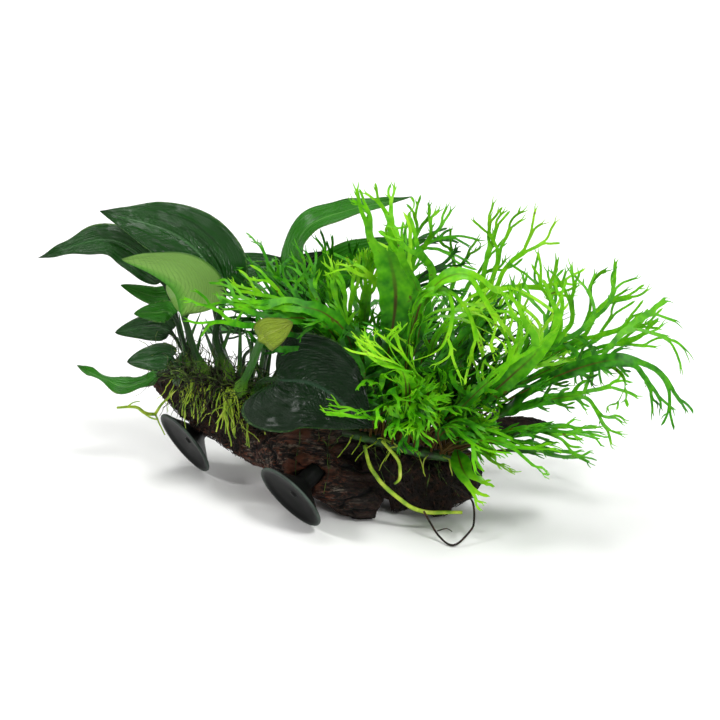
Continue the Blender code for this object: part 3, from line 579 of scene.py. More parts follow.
def add_node(tree, kind, inputs=None, stops=None, **settings):
    """Add a shader node with its settings, and give each named input a value or a link.

    The stops of a colour ramp are pairs of a place and six hex digits.
    """
    node = tree.nodes.new("ShaderNode" + kind)
    for key, value in settings.items():
        setattr(node, key, value)
    for key, value in (inputs or {}).items():
        if isinstance(value, bpy.types.NodeSocket):
            tree.links.new(value, node.inputs[key])
        else:
            node.inputs[key].default_value = value
    for i, (place, hex_code) in enumerate(stops or []):
        elements = node.color_ramp.elements
        element = elements[i] if i < len(elements) else elements.new(place)
        element.position = place
        element.color = linear(hex_code)
    return node


class Finish:
    """A Principled material, and a short name for each kind of node that feeds its shader."""

    def __init__(self, name, **sockets):
        self.material = bpy.data.materials.new(name)
        self.material.use_nodes = True
        self.tree = self.material.node_tree
        self.shader = self.tree.nodes["Principled BSDF"]
        for key, value in sockets.items():
            self.shader.inputs[key.replace("_", " ")].default_value = value
        self.place = add_node(self.tree, "TexCoord").outputs["Object"]

    def read(self, attribute, output="Fac"):
        """What an attribute of the mesh holds."""
        return add_node(self.tree, "Attribute", attribute_name=attribute).outputs[output]

    def parts(self, vector):
        """The three numbers of a vector."""
        return add_node(self.tree, "SeparateXYZ", {0: vector}).outputs

    def drawn_out(self, vector, scale, turn=0.0):
        """A vector scaled along its axes and turned about z, so that a pattern over it is drawn out."""
        inputs = {"Vector": vector, "Rotation": (0.0, 0.0, turn), "Scale": scale}
        return add_node(self.tree, "Mapping", inputs).outputs[0]

    def pattern(self, scale, detail, place=None, **more):
        """Noise over the place on the object, where no other place is given."""
        place = self.place if place is None else place
        inputs = {"Vector": place, "Scale": scale, "Detail": detail, **more}
        return add_node(self.tree, "TexNoise", inputs).outputs["Fac"]

    def maths(self, operation, *values):
        """Arithmetic on numbers and links."""
        return add_node(self.tree, "Math", dict(enumerate(values)), operation=operation).outputs[0]

    def fade(self, value, low=0.0, high=1.0, to_low=0.0, to_high=1.0):
        """A value brought from one range to another and held within it."""
        inputs = {"Value": value, "From Min": low, "From Max": high, "To Min": to_low, "To Max": to_high}
        return add_node(self.tree, "MapRange", inputs).outputs[0]

    def mix(self, share, first, second, blend_type="MIX"):
        """Two colours, mixed by the share of the second."""
        inputs = {0: share, 6: first, 7: second}
        return add_node(self.tree, "Mix", inputs, data_type="RGBA", blend_type=blend_type).outputs[2]

    def ramp(self, value, *stops):
        """A value turned into a colour, by stops of a place and six hex digits."""
        return add_node(self.tree, "ValToRGB", {"Fac": value}, stops=stops).outputs[0]

    def finish(self, base, gloss, height, depth, strength=1.0):
        """Link the colour, the roughness and a bump whose depth is in mm, and give the material."""
        bump = add_node(self.tree, "Bump", {"Height": height, "Distance": depth * MM, "Strength": strength})
        for key, output in (("Base Color", base), ("Roughness", gloss), ("Normal", bump.outputs[0])):
            self.tree.links.new(output, self.shader.inputs[key])
        return self.material


def bogwood(settings):
    """Bogwood, darkened by years under water and worn by hand: a wet fibrous bark.

    The eye gets cracks painted near-black with shade, red-brown bare wood and grey-brown loose fibres along
    the grain.
    """
    wood = Finish("worn_bogwood", Specular_IOR_Level=0.22)
    # Patches of bare wood are about 16 mm wide, flecks of fibre 1.1 mm across and 4 mm long
    patches = wood.pattern(per(16), 5.0, Roughness=0.62)
    grain = wood.drawn_out(wood.place, (0.28, 1.0, 1.0), 0.3)
    fibres = wood.pattern(per(1.1), 4.0, grain, Roughness=0.7, Distortion=0.5)
    tints = wood.ramp(wood.pattern(per(2.4), 2.0, grain), (0.42, "6e3c26"), (0.62, "80766a"))
    # From 20 mm right of the middle on, the log has long been under roots and is nearly black
    along = wood.parts(wood.place)[0]
    wavy = wood.maths("MULTIPLY_ADD", patches, 40 * MM, along)
    shown = wood.fade(wavy, 20 * MM, 0.0, 0.12, 1.0)
    flecks = wood.maths("MULTIPLY", wood.fade(fibres, 0.47, 0.62), shown)
    bare = wood.maths("MULTIPLY", wood.fade(patches, 0.50, 0.60), shown)
    flecked = wood.mix(flecks, settings.bark, tints)
    rubbed = wood.mix(bare, flecked, settings.rust)
    # Painted shade: the relief darkens the colour towards the bottom of each crack, to near black, and
    # leaves the flakes as they are
    shade = wood.ramp(wood.read("relief"), (0.0, "0a0604"), (0.4, "5a4c44"), (0.75, "d8cfc8"),
                      (1.0, "ffffff"))
    shaded = wood.mix(1.0, rubbed, shade, "MULTIPLY")
    return wood.finish(shaded, wood.fade(patches, to_low=0.85, to_high=0.5), fibres, 0.9)


def moulded_rubber(settings):
    """Moulded nitrile rubber: satin black, with the dull bloom that rubber gets and fine mould grain."""
    rubber = Finish("moulded_rubber", Specular_IOR_Level=0.12)
    # Clouds of bloom are about 9 mm wide, the mould's grain 0.4 mm
    bloom = rubber.pattern(per(9), 3.0)
    dusty = rubber.mix(rubber.fade(bloom, to_high=0.35), settings.rubber, linear("1a1c1b"))
    worn = rubber.maths("MULTIPLY", bloom, rubber.read("rim"))
    base = rubber.mix(worn, dusty, settings.lip)
    gloss = rubber.fade(bloom, to_low=0.36, to_high=0.56)
    return rubber.finish(base, gloss, rubber.pattern(per(0.4), 1.0), 0.03, 0.4)


def waxy_leaf(name, face, underside, petiole, vein, margin, roughness, rib_below="8fc45c", shine=0.26,
              veins_show=0.13, rib_width=0.12):
    """A leathery leaf grown under a waxy skin: glossy, with sunken veins and a paler underside.

    The attribute leaf holds the place across from -1 to 1, along from 0 to 1 with the petiole below 0,
    and 1 on the upper side; vein counts the side veins from the base.
    """
    leaf = Finish(name, Specular_IOR_Level=shine, Coat_Weight=0.08, Coat_Roughness=0.2)
    vein_and_sheen_tint = linear(vein)
    spot = leaf.read("leaf", "Vector")
    across, along, upper = leaf.parts(spot)
    off_middle = leaf.maths("ABSOLUTE", across)
    # A side vein runs where the count is whole, and strays by up to one spacing
    count = leaf.maths("MULTIPLY_ADD", leaf.pattern(per(7), 1.0), 0.9, leaf.read("vein"))
    to_vein = leaf.maths("SUBTRACT", leaf.maths("FRACT", count), 0.5)
    line = leaf.fade(leaf.maths("ABSOLUTE", to_vein), 0.36, 0.5)
    # Clouds are about 14 mm wide, the puckers of the skin 1.3 mm
    clouds = leaf.pattern(per(14), 4.0)
    puckers = leaf.pattern(per(1.3), 3.0, Distortion=0.6)
    # Lengthwise streaks: some twelve across a blade, each half as long as the blade
    streaks = leaf.pattern(1.0, 2.0, leaf.drawn_out(spot, (6.0, 1.6, 1.0)))
    lighter = [min(1.0, 1.55 * c) for c in face[:3]] + [1.0]
    sides = leaf.mix(upper, underside, leaf.mix(clouds, face, lighter))
    # On the grown and the old leaves the vein colour is paler and greyer than the face, on the side veins
    # and on the midrib above: partly the veins' own colour, partly painted sheen along them
    veined_and_sheened = leaf.mix(leaf.maths("MULTIPLY", line, veins_show), sides, vein_and_sheen_tint)
    # The midrib stands out more below than above
    rib = leaf.fade(off_middle, leaf.fade(upper, to_low=rib_width, to_high=0.05), 0.015)
    ribbed = leaf.mix(rib, veined_and_sheened, leaf.mix(upper, linear(rib_below), vein_and_sheen_tint))
    # Painted light: the margin is painted paler, as light shining through the thin edge
    rim_lit = leaf.mix(leaf.fade(off_middle, 0.95, 0.99, to_high=0.7), ribbed, linear(margin))
    stalked = leaf.mix(leaf.fade(along, 0.03, -0.03), rim_lit, petiole)
    # The sheath at the foot of the petiole is brighter
    base = leaf.mix(leaf.fade(along, -0.72, -0.98), stalked, linear("6ba32c"))
    gloss = leaf.fade(clouds, to_low=roughness - 0.08, to_high=roughness + 0.10)
    ripple = leaf.maths("PINGPONG", leaf.maths("MULTIPLY", count, 3.0))
    puckered = leaf.maths("MULTIPLY_ADD", puckers, 0.6, ripple)
    sunk = leaf.maths("MULTIPLY_ADD", line, -0.8, puckered)
    return leaf.finish(base, gloss, leaf.maths("MULTIPLY_ADD", streaks, 14.0, sunk), 0.2)


def fern_frond(settings):
    """A thin fern frond, grown under water: bright green tips, dark shaded blades, brown midrib and spots.

    The attribute frond holds the place across from -1 to 1, along from 0 at the foot to 1 at the tips, and
    the frond's tone.
    """
    frond = Finish("thin_fern_frond", Specular_IOR_Level=0.16, Subsurface_Weight=0.2,
                   Subsurface_Radius=(0.4, 1.0, 0.1), Subsurface_Scale=0.5 * MM)
    across, along, tone = frond.parts(frond.read("frond", "Vector"))
    # Clouds are about 9 mm wide, the pattern of brown spots 3.2 mm, the cells of the skin 0.6 mm
    clouds = frond.pattern(per(9), 4.0)
    spots = frond.pattern(per(3.2), 1.0)
    cells = frond.pattern(per(0.6), 2.0)
    wavered = frond.maths("MULTIPLY_ADD", clouds, 0.6, -0.5)
    mottled = frond.maths("MULTIPLY_ADD", spots, 0.4, wavered)
    # Darker towards the foot and on fronds of low tone: partly the brighter young tips, partly painted shade
    # deep in the fern
    young = frond.maths("ADD", frond.maths("MULTIPLY", along, tone), mottled)
    green = frond.ramp(young, (0.0, "072602"), (0.16, "145003"), (0.34, "328505"), (0.60, "62b60a"),
                       (0.95, "98d622"))
    rib = frond.fade(frond.maths("ABSOLUTE", across), 0.16, 0.06)
    low = frond.fade(along, 0.75, 0.55, to_high=0.9)
    ribbed = frond.mix(frond.maths("MULTIPLY", rib, low), green, settings.midrib)
    base = frond.mix(frond.fade(spots, 0.70, 0.76, to_high=0.8), ribbed, settings.midrib)
    return frond.finish(base, frond.fade(clouds, to_low=0.34, to_high=0.52), cells, 0.08, 0.5)


def fleshy_stem(name, patch, roughness, *stops):
    """A fleshy stem or root: a skin in patches of some mm, whose colours are the stops, over fine grain."""
    stem = Finish(name, Specular_IOR_Level=0.4)
    patches = stem.pattern(per(patch), 3.0)
    gloss = stem.fade(patches, to_low=roughness - 0.08, to_high=roughness + 0.08)
    return stem.finish(stem.ramp(patches, *stops), gloss, stem.pattern(per(0.5), 2.0), 0.15, 0.6)


def wave(x, y, z, long, wide, shift=0.0):
    """Smooth noise at a place in mm, whose bumps are so long in x and so wide in y and z."""
    return noise.noise(Vector((x / long + shift, y / wide, z / wide)))


def bark_height(place, settings):
    """How far the bark goes in or out at a place of the frame, in mm."""
    x, y, z = place / MM
    along = x + 0.25 * y
    warp = 2.5 * wave(x, y, z, 14, 14)
    crack = abs(wave(along, y + warp, z + warp, 34, 7, 3))
    split = abs(wave(along, y - warp, z + warp, 12, 3.2, -5))
    deep = settings.crack_depth / MM
    depth = -deep * math.exp(-(crack / CRACK_WIDTH) ** 2)
    depth -= 0.45 * deep * math.exp(-(split / SPLIT_WIDTH) ** 2)
    flakes = wave(along, y, z, 7, 2.6)
    grit = wave(x, y, z, 1.3, 1.1)
    return depth + settings.flake_depth / MM * (flakes + 0.6 * grit)


def merge_close(thing, gap):
    """Merge vertices closer than a gap in mm, and turn the faces outwards."""
    shape = bmesh.new()
    shape.from_mesh(thing.data)
    bmesh.ops.remove_doubles(shape, verts=shape.verts, dist=gap * MM)
    bmesh.ops.recalc_face_normals(shape, faces=shape.faces)
    shape.to_mesh(thing.data)
    shape.free()


def vertices_and_normals(thing):
    """The vertices of a mesh, each with its normal as it is before any of them moves."""
    return zip(thing.data.vertices, [vertex.normal.copy() for vertex in thing.data.vertices])


def join(name, things):
    """Join mesh objects into the first of them, and give it a name."""
    deselect_all()
    for thing in things:
        thing.select_set(True)
    bpy.context.view_layer.objects.active = things[0]
    bpy.ops.object.join()
    things[0].name = name
    return things[0]


def make_driftwood(settings):
    """Join copies of the limbs into one grown body, and carve its cracks and flakes."""
    copies = []
    for name in LIMBS:
        limb = new_object(name + "_copy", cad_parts[name].data.copy())
        merge_close(limb, 0.01)
        for vertex, normal in vertices_and_normals(limb):
            vertex.co += normal * SWELL * MM
        copies.append(limb)
    wood = join("driftwood", copies)
    wood.data.name = "driftwood"
    apply_modifier(wood, "REMESH", mode="VOXEL", voxel_size=settings.grid)
    apply_modifier(wood, "SMOOTH", factor=0.5, iterations=2)
    # The relief runs from 0 deep in a crack to 1 on a flake; the bark's material paints shade into the
    # cracks from it
    relief = wood.data.attributes.new("relief", "FLOAT", "POINT")
    deepest = 1.45 * settings.crack_depth / MM
    for vertex, normal in vertices_and_normals(wood):
        height = bark_height(vertex.co, settings)
        relief.data[vertex.index].value = min(max(1.0 + height / deepest, 0.0), 1.0)
        on_floor = vertex.co.z < ON_FLOOR * MM
        vertex.co += normal * (height - SWELL) * MM
        if on_floor or vertex.co.z < 0.0:
            vertex.co.z = 0.0
    dress(wood, bogwood(settings), "driftwood", *LIMBS)


def make_cup(name, settings, material):
    """Turn a cup from its profile: a ring extruded and scaled from one station to the next."""
    radius, height = CUP_PROFILE[0]
    deselect_all()
    bpy.ops.mesh.primitive_circle_add(vertices=settings.steps, radius=radius * MM, fill_type="TRIFAN")
    cup = bpy.context.object
    cup.name = name.replace("suction_cup", "rubber_cup")
    bpy.ops.object.mode_set(mode="EDIT")
    bpy.ops.mesh.select_all(action="SELECT")
    bpy.ops.transform.translate(value=(0.0, 0.0, height * MM))
    bpy.ops.mesh.region_to_loop()
    for next_radius, next_height in CUP_PROFILE[1:]:
        rise = (0, 0, (next_height - height) * MM)
        bpy.ops.mesh.extrude_edges_move(TRANSFORM_OT_translate={"value": rise})
        share = next_radius / radius
        bpy.ops.transform.resize(value=(share, share, 1.0), center_override=(0.0, 0.0, next_height * MM))
        radius, height = next_radius, next_height
    bpy.ops.mesh.edge_face_add()
    bpy.ops.mesh.poke()
    bpy.ops.mesh.select_all(action="SELECT")
    bpy.ops.mesh.normals_make_consistent(inside=False)
    bpy.ops.object.mode_set(mode="OBJECT")
    rim = cup.data.attributes.new("rim", "FLOAT", "POINT")
    lip_radius = max(row[0] for row in CUP_PROFILE) * MM
    for vertex in cup.data.vertices:
        share = math.hypot(vertex.co.x, vertex.co.y) / lip_radius
        on_lip = vertex.co.z < LIP_HEIGHT * MM
        rim.data[vertex.index].value = max(0.0, (share - 0.9) / 0.1) if on_lip else 0.0
    middle, facing = CUPS[name]
    cup.rotation_mode = "QUATERNION"
    cup.rotation_quaternion = (-Vector(facing)).to_track_quat("Z", "Y")
    cup.location = at(middle)
    bpy.ops.object.transform_apply(location=True, rotation=True, scale=True)
    dress(cup, material, "black_rubber", name)


def ovate(t, blunt):
    """Half width of an egg-shaped blade as a share of its widest; a lower value of blunt rounds its tip."""
    return max(0.0, math.sin(math.pi * min(max(t, 0.0), 1.0) ** 0.62)) ** blunt


class AnubiasLeaf:
    """A petiole that opens into an egg-shaped blade: one closed skin, shaped from a sphere."""

    # Narrower blades than this, in mm, are young and have blunter tips
    YOUNG_HALF_WIDTH = 8
    YOUNG_BLUNTNESS = 0.7
    # Where no other value is given: the waves of a margin as a share of the half width, and the crinkles
    # of a face in mm
    WAVE_SHARE = 0.045
    CRINKLE = 0.05
    # The rows of vertices are 2.5 mm apart on a petiole, and draw together towards the base of a blade
    PETIOLE_ROW = 2.5
    GATHER = 1.25

    def __init__(self, key, settings):
        x_foot, points, self.half_width, self.petiole, self.lobes, self.fold, facing = ANUBIAS_LEAVES[key]
        points = stem_foot(ANUBIAS_RHIZOME, x_foot, points[0]) + [Vector(p) for p in points]
        self.key = key
        self.path = LeafPath(points, facing)
        self.blade_start = arc_share(points, 3)
        self.length = self.path.length / MM
        self.blade = (1 - self.blade_start) * self.length
        self.wider_above, self.longer_below, self.run_out = LOPSIDED.get(key, (0.0, 0.0, SLOW_LOBES))
        self.wave = MARGIN_WAVES.get(key, self.WAVE_SHARE * self.half_width)
        self.crinkle = CRINKLES.get(key, self.CRINKLE)
        self.blunt = self.YOUNG_BLUNTNESS if self.half_width < self.YOUNG_HALF_WIDTH else 1.0
        self.settings = settings
        self.seed = 17.0 * list(ANUBIAS_LEAVES).index(key)

    def make(self, material, slot):
        """Move the vertices of a sphere to their places on the leaf."""
        column = self.settings.column_width / MM
        segments = 4 * max(5, round(self.half_width / column))
        blade_rings = max(24, round(self.blade / (0.8 * column)))
        petiole_rings = max(6, round(self.blade_start * self.length / self.PETIOLE_ROW))
        rings = blade_rings + petiole_rings + 1
        deselect_all()
        bpy.ops.mesh.primitive_uv_sphere_add(segments=segments, ring_count=rings, radius=1.0)
        thing = bpy.context.object
        thing.name = "anubias_blade_" + self.key
        mesh = thing.data
        mesh.attributes.new("leaf", "FLOAT_VECTOR", "POINT")
        mesh.attributes.new("vein", "FLOAT", "POINT")
        leaf = mesh.attributes["leaf"]
        vein = mesh.attributes["vein"]
        for vertex in mesh.vertices:
            x, y, z = vertex.co
            ring = round(math.acos(min(max(z, -1.0), 1.0)) / math.pi * rings)
            turn = math.atan2(y, x) % math.tau
            if ring <= petiole_rings:
                share = max(ring - 1, 0) / petiole_rings
                spot = self.on_petiole(share, turn, 0.0 if ring == 0 else 1.0)
            else:
                share = ((ring - petiole_rings - 1) / blade_rings) ** self.GATHER
                spot = self.on_blade(min(share, 1.0), turn)
            vertex.co, leaf.data[vertex.index].vector, vein.data[vertex.index].value = spot
        merge_close(thing, 0.005)
        dress(thing, material, slot, "anubias_leaf_" + self.key)

    def on_petiole(self, share, turn, full):
        """A point of the petiole, which is stouter over the 9 mm at its foot."""
        s = self.blade_start * share * self.length
        radius = self.petiole * (0.85 + 0.95 * math.exp(-(s / 9) ** 2)) * full
        place = self.path.place(s * MM, radius * math.cos(turn) * MM, radius * math.sin(turn) * MM)
        return place, (math.cos(turn) * full, share - 1.05, 0.5), 0.0

    def on_blade(self, t, turn):
        """A point of the blade: it goes from one margin over the top to the other, then back below."""
        upper = turn <= math.pi
        u = 1 - 2 * turn / math.pi if upper else 2 * turn / math.pi - 3
        s = self.blade_start * self.length + self.blade * t
        width = self.half_width * ovate(t, self.blunt) + self.petiole * (1 - t) ** 3 + 0.3 * (1 - t)
        reach = width * (1 - self.wider_above * u)
        back = self.lobes * (1 + self.longer_below * u) * abs(u) ** 1.5 * reach * (1 - t) ** self.run_out
        x = u * reach
        # A side vein leaves the midrib at a slant and bends on towards the tip
        bend = 0.9 * abs(x) + 1.5 * x * x / self.half_width
        count = (self.blade * t - back - bend) / (self.settings.vein_spacing / MM)
        # The relief runs out at both ends of the blade: a wave along each margin, crinkles, puckers that are
        # drawn out along the leaf, and swells
        rise = min(1.0, 8 * t, 6 * (1 - t))
        side = 1.0 if u > 0 else 2.3
        lift = (self.fold * abs(u) - 0.10 * u * u) * reach
        lift += self.wave * u * u * rise * math.sin(0.33 * s + side * 1.7 + self.seed)
        for height, long, wide in ((self.crinkle, 3.2, 2.0), (0.16, 13, 1.7), (0.8, 12, 9)):
            lift += height * rise * noise.noise(Vector((x / wide, s / long, self.seed)))
        near_vein = abs(count % 1.0 - 0.5) * 2
        sunk = max(0.0, (near_vein - 0.62) / 0.38) ** 2 * rise * (1 - u ** 8)
        lift -= self.settings.vein_depth / MM * sunk * (1.0 if upper else 0.4)
        # Half the thickness, which runs out at the margins and the tip, and the midrib
        half = 0.5 * self.settings.thickness / MM * (1 - 0.7 * u ** 6) * min(1.0, 20 * (1 - t) + 0.2)
        rib = math.exp(-(x / (0.8 * self.petiole)) ** 2)
        if upper:
            fade = max(0.0, 1 - 8 * t)
            lift += half + rib * (self.petiole * fade - 0.35 * (1 - fade) * (1 - t))
        else:
            lift -= half + rib * self.petiole * (0.8 * (1 - t) + 0.15)
        start = min(s, self.blade_start * self.length)
        place = self.path.place((s - back) * MM, x * MM, lift * MM, start * MM)
        return place, (u, t, 1.0 if upper else 0.0), count


class Frond:
    """One frond of the fern, built flat as rows of vertices and placed along its path.

    The places of its vertices in the flat are kept in mm: along, to the side and above.
    """

    # Ranges of the random draws: angles in radians, lengths in mm, slopes as height over way
    TWIST = (-0.45, 0.45)
    HORN_SLOPE = (-0.4, 0.4)
    END_HORN_TURN = (0.2, 0.6)
    END_HORN = (1.5, 3.8)
    END_POINT = (1.0, 2.0)
    SIDE_HORN_TURN = (0.5, 0.9)
    SIDE_HORN = (1.5, 3.5)
    PRONG_TURN = (-0.35, 0.35)
    PRONG_DRIFT = (-0.17, 0.17)
    PRONG_CURL = (-0.6, 0.6)
    FORK_SLOPE = (-0.35, 0.35)
    SIDE_PRONG_TURN = (0.5, 0.9)
    SIDE_PRONG_SLOPE = (-0.4, 0.4)
    SIDE_PRONG = (3.0, 8.0)
    # How far a prong bends back to the axis, and a first fork's spread and length, as shares
    STRAIGHTENING = (0.1, 0.7)
    FORK_SPREAD = (0.7, 1.2)
    FORK_REACH = (0.75, 1.0)
    BLADE_FORK_REACH = (0.85, 1.1)
    # At a second fork, the main and the lesser branch: its turn, and its length as a share
    MAIN_BRANCH = ((0.15, 0.35), (0.4, 0.6))
    LESSER_BRANCH = ((0.4, 0.7), (0.25, 0.45))
    # How likely a prong ends in two horns, has a horn at a row, and forks a second time
    TWO_HORNS = 0.65
    HORN_AT_ROW = 0.06
    SECOND_FORK = 0.85
    # Half widths of prongs in mm: on a side of the blade, after the first fork and after the second
    SIDE_PRONG_WIDTH = 0.75
    WIDTHS = {3: 0.8, 2: 0.56}

    def __init__(self, name, path, half_width, fork_at, spread, tone, settings):
        self.name = name
        self.path = path
        self.length = path.length / MM
        self.half_width = half_width
        self.fork_at = fork_at
        self.spread = math.radians(spread)
        self.tone = tone
        self.settings = settings
        self.step = settings.row_step / MM
        self.forks = random.Random(name)
        self.chance = random.Random(name + "_detail")
        self.twist = self.draw(self.TWIST)
        self.shape = bmesh.new()
        self.layer = self.shape.verts.layers.float_vector.new("frond")
        self.flat = {}

    def draw(self, limits):
        """A random number between two limits, for details that the solid hasn't got."""
        return self.chance.uniform(*limits)

    def spot(self, flat):
        """Where a place in the flat comes to lie; the frond twists more and more towards its tips."""
        s, x, h = flat
        turn = self.twist * (s / self.length) ** 2
        side = x * math.cos(turn) - h * math.sin(turn)
        above = x * math.sin(turn) + h * math.cos(turn)
        return self.path.place(s * MM, side * MM, above * MM)

    def vertex(self, flat, across):
        """A vertex at a place in the flat, marked with what the material reads."""
        point = self.shape.verts.new(self.spot(flat))
        point[self.layer] = (across, flat[0] / self.length, self.tone)
        self.flat[point] = Vector(flat)
        return point

    def row(self, centre, heading, half, count, cup=0.0):
        """A row of vertices square to a heading, from the left edge to the right."""
        s, x, h = centre
        row = []
        for k in range(count):
            u = 2 * k / (count - 1) - 1
            aside = half * u
            place = (s - math.sin(heading) * aside, x + math.cos(heading) * aside, h + cup * abs(aside))
            row.append(self.vertex(place, u))
        return row

    def bridge(self, lower, upper):
        """Fill the band between two rows, where a row of five ends a prong of three."""
        if len(upper) == len(lower):
            for a, b, c, d in zip(lower, lower[1:], upper[1:], upper):
                self.shape.faces.new((a, b, c, d))
        else:
            self.shape.faces.new((lower[0], lower[1], upper[2], upper[1], upper[0]))
            self.shape.faces.new((lower[1], lower[2], upper[4], upper[3], upper[2]))

    def horn(self, a, b, heading, reach):
        """A narrow pointed horn from the edge between two vertices, bent back a little to the axis."""
        foot = (self.flat[a] + self.flat[b]) / 2
        edge = (self.flat[b] - self.flat[a]) / 2
        rise = self.draw(self.HORN_SLOPE)
        low, high = a, b
        for share in (0.35, 0.7, 1.0):
            way = heading * (1 - 0.4 * share)
            centre = foot + Vector((math.cos(way), math.sin(way), rise)) * reach * share
            if share == 1.0:
                self.shape.faces.new((low, high, self.vertex(centre, 0.5)))
                return
            half = edge * (1 - 0.8 * share)
            left, right = self.vertex(centre - half, 0.5), self.vertex(centre + half, 0.5)
            self.shape.faces.new((low, high, right, left))
            low, high = left, right

    def points(self, last, heading):
        """End a prong in two horns or in one point."""
        left, middle, right = last
        if self.chance.random() < self.TWO_HORNS:
            for side, a, b in ((-1, left, middle), (1, middle, right)):
                self.horn(a, b, heading + side * self.draw(self.END_HORN_TURN), self.draw(self.END_HORN))
            return
        way = Vector((math.cos(heading), math.sin(heading), 0.0))
        tip = self.vertex(self.flat[middle] + way * self.draw(self.END_POINT), 0.5)
        self.shape.faces.new((left, middle, tip))
        self.shape.faces.new((middle, right, tip))

    def prong(self, first, heading, pitch, reach, width, level):
        """A prong from a row of three vertices, which bends back to the frond's axis as it grows.

        Prongs of levels 3 and 2 fork, as those of the solid do, and those of level 1 end.
        """
        own_reach = reach * (0.55 if level == 2 else 1.0)
        steps = max(2, round(own_reach / self.step))
        from_half = (self.flat[first[2]] - self.flat[first[0]]).length / 2
        turn = self.draw(self.PRONG_TURN) - heading * self.draw(self.STRAIGHTENING)
        curl = self.draw(self.PRONG_CURL)
        centre = self.flat[first[1]]
        drift = 0.0
        last = first
        for i in range(1, steps + 1):
            t = i / steps
            drift += self.draw(self.PRONG_DRIFT)
            way = heading + turn * t + drift
            slope = pitch + curl * t
            centre = centre + Vector((math.cos(way), math.sin(way), slope)) * own_reach / steps
            # A prong narrows quickly at its foot and widens again where it forks
            half = width + (from_half - width) * (1 - t) ** 3
            if level > 1:
                half += 0.45 * width * t ** 4
            row = self.row(centre, way, half, 5 if i == steps and level > 1 else 3)
            self.bridge(last, row)
            if i < steps and self.chance.random() < self.HORN_AT_ROW:
                side, a, b = self.chance.choice(((-1, last[0], row[0]), (1, last[-1], row[-1])))
                self.horn(a, b, way + side * self.draw(self.SIDE_HORN_TURN), self.draw(self.SIDE_HORN))
            last = row
        if level == 1:
            self.points(last, way)
            return
        main = self.chance.choice((-1, 1))
        for side, pair in ((-1, last[0:3]), (1, last[2:5])):
            next_level = 1
            if level == 3:
                bend = self.spread * 0.8 * self.forks.uniform(*self.FORK_SPREAD)
                share = self.forks.uniform(*self.FORK_REACH)
                if self.chance.random() < self.SECOND_FORK:
                    next_level = 2
            else:
                bend, share = map(self.draw, self.MAIN_BRANCH if side == main else self.LESSER_BRANCH)
            self.prong(pair, way + side * bend, slope * 0.4 + self.draw(self.FORK_SLOPE), reach * share,
                       self.WIDTHS[level], next_level)

    def side_prongs(self, rows):
        """Forked prongs that leave the margins of a slender blade, each from three vertices in a row."""
        for side, edge in ((-1, 0), (1, -1)):
            i = len(rows) // 2 + self.chance.randrange(6)
            while i + 3 < len(rows):
                first = [row[edge] for row in rows[i:i + 3]]
                heading = side * self.draw(self.SIDE_PRONG_TURN)
                pitch = self.draw(self.SIDE_PRONG_SLOPE)
                reach = self.draw(self.SIDE_PRONG)
                level = self.chance.choice((1, 2))
                self.prong(first[::-side], heading, pitch, reach, self.SIDE_PRONG_WIDTH, level)
                i += self.chance.randrange(5, 13)

    def blade(self):
        """The ribbon from the stalk to the fork, with waving margins, and the prongs."""
        fork = self.fork_at * self.length
        from_share = FERN_OUTLINE[0][0]
        steps = round(fork * (1 - from_share) / self.step)
        phase = self.chance.uniform(0, math.tau)
        rows = []
        for i in range(steps + 1):
            share = from_share + (1 - from_share) * i / steps
            s = share * fork
            half = between(FERN_OUTLINE, share) * self.half_width
            half *= 1 + 0.06 * math.sin(0.55 * s + phase)
            row = self.row((s, 0.0, 0.0), 0.0, half, 5, 0.12)
            for point, side in ((row[0], 1), (row[-1], -1)):
                self.flat[point].z += 0.16 * half * math.sin(0.5 * s + phase * side + side)
                point.co = self.spot(self.flat[point])
            if rows:
                self.bridge(rows[-1], row)
            rows.append(row)
        if self.half_width < SLENDER:
            self.side_prongs(rows)
        reach = 0.52 * (1 - self.fork_at) * self.length
        width = min(max(1.0, 0.36 * self.half_width), 1.5)
        for side, pair in ((-1, rows[-1][0:3]), (1, rows[-1][2:5])):
            this_reach = reach * self.forks.uniform(*self.BLADE_FORK_REACH)
            self.prong(pair, self.spread * 0.7 * side, 0.0, this_reach, width, 3)

    def stalk(self):
        """The round stalk, which runs on under the blade as its midrib."""
        reach = self.fork_at * self.length
        steps = round(reach / STALK_ROW)
        rings = []
        for i in range(steps + 1):
            share = i / steps
            radius = 0.72 - 0.5 * share
            sink = 0.5 * radius * min(1.0, max(0.0, (share - 0.3) / 0.3))
            ring = []
            for k in range(STALK_SIDES):
                turn = math.tau * k / STALK_SIDES
                place = (share * reach, radius * math.cos(turn), radius * math.sin(turn) - sink)
                ring.append(self.vertex(place, 0.0))
            rings.append(ring)
        for lower, upper in zip(rings, rings[1:]):
            for k in range(STALK_SIDES):
                n = (k + 1) % STALK_SIDES
                self.shape.faces.new((lower[k], lower[n], upper[n], upper[k]))
        self.shape.faces.new(rings[0])
        self.shape.faces.new(rings[-1])

    def make(self):
        """The finished frond as a mesh object of its full thickness."""
        self.blade()
        bmesh.ops.recalc_face_normals(self.shape, faces=self.shape.faces)
        thing = write_mesh(self.name, self.shape)
        apply_modifier(thing, "SOLIDIFY", thickness=self.settings.thickness, offset=0.0)
        self.shape = bmesh.new()
        self.shape.from_mesh(thing.data)
        self.layer = self.shape.verts.layers.float_vector["frond"]
        self.stalk()
        bmesh.ops.recalc_face_normals(self.shape, faces=self.shape.faces)
        self.shape.to_mesh(thing.data)
        self.shape.free()
        thing.data.set_sharp_from_angle(angle=math.radians(65))
        return thing


def make_fern_frond(number, settings, material):
    """A grown frond in place of its solid."""
    x_foot, points, half_width, fork_at, spread, facing, tone = FERN_LEAVES[number - 1]
    node = "fern_leaf_%02d" % number
    path = LeafPath(stem_foot(FERN_RHIZOME, x_foot, points[0]) + [Vector(p) for p in points], facing)
    thing = Frond(node, path, half_width, fork_at, spread, tone, settings).make()
    thing.name = "fern_frond_%02d" % number
    dress(thing, material, "fern_green", node)


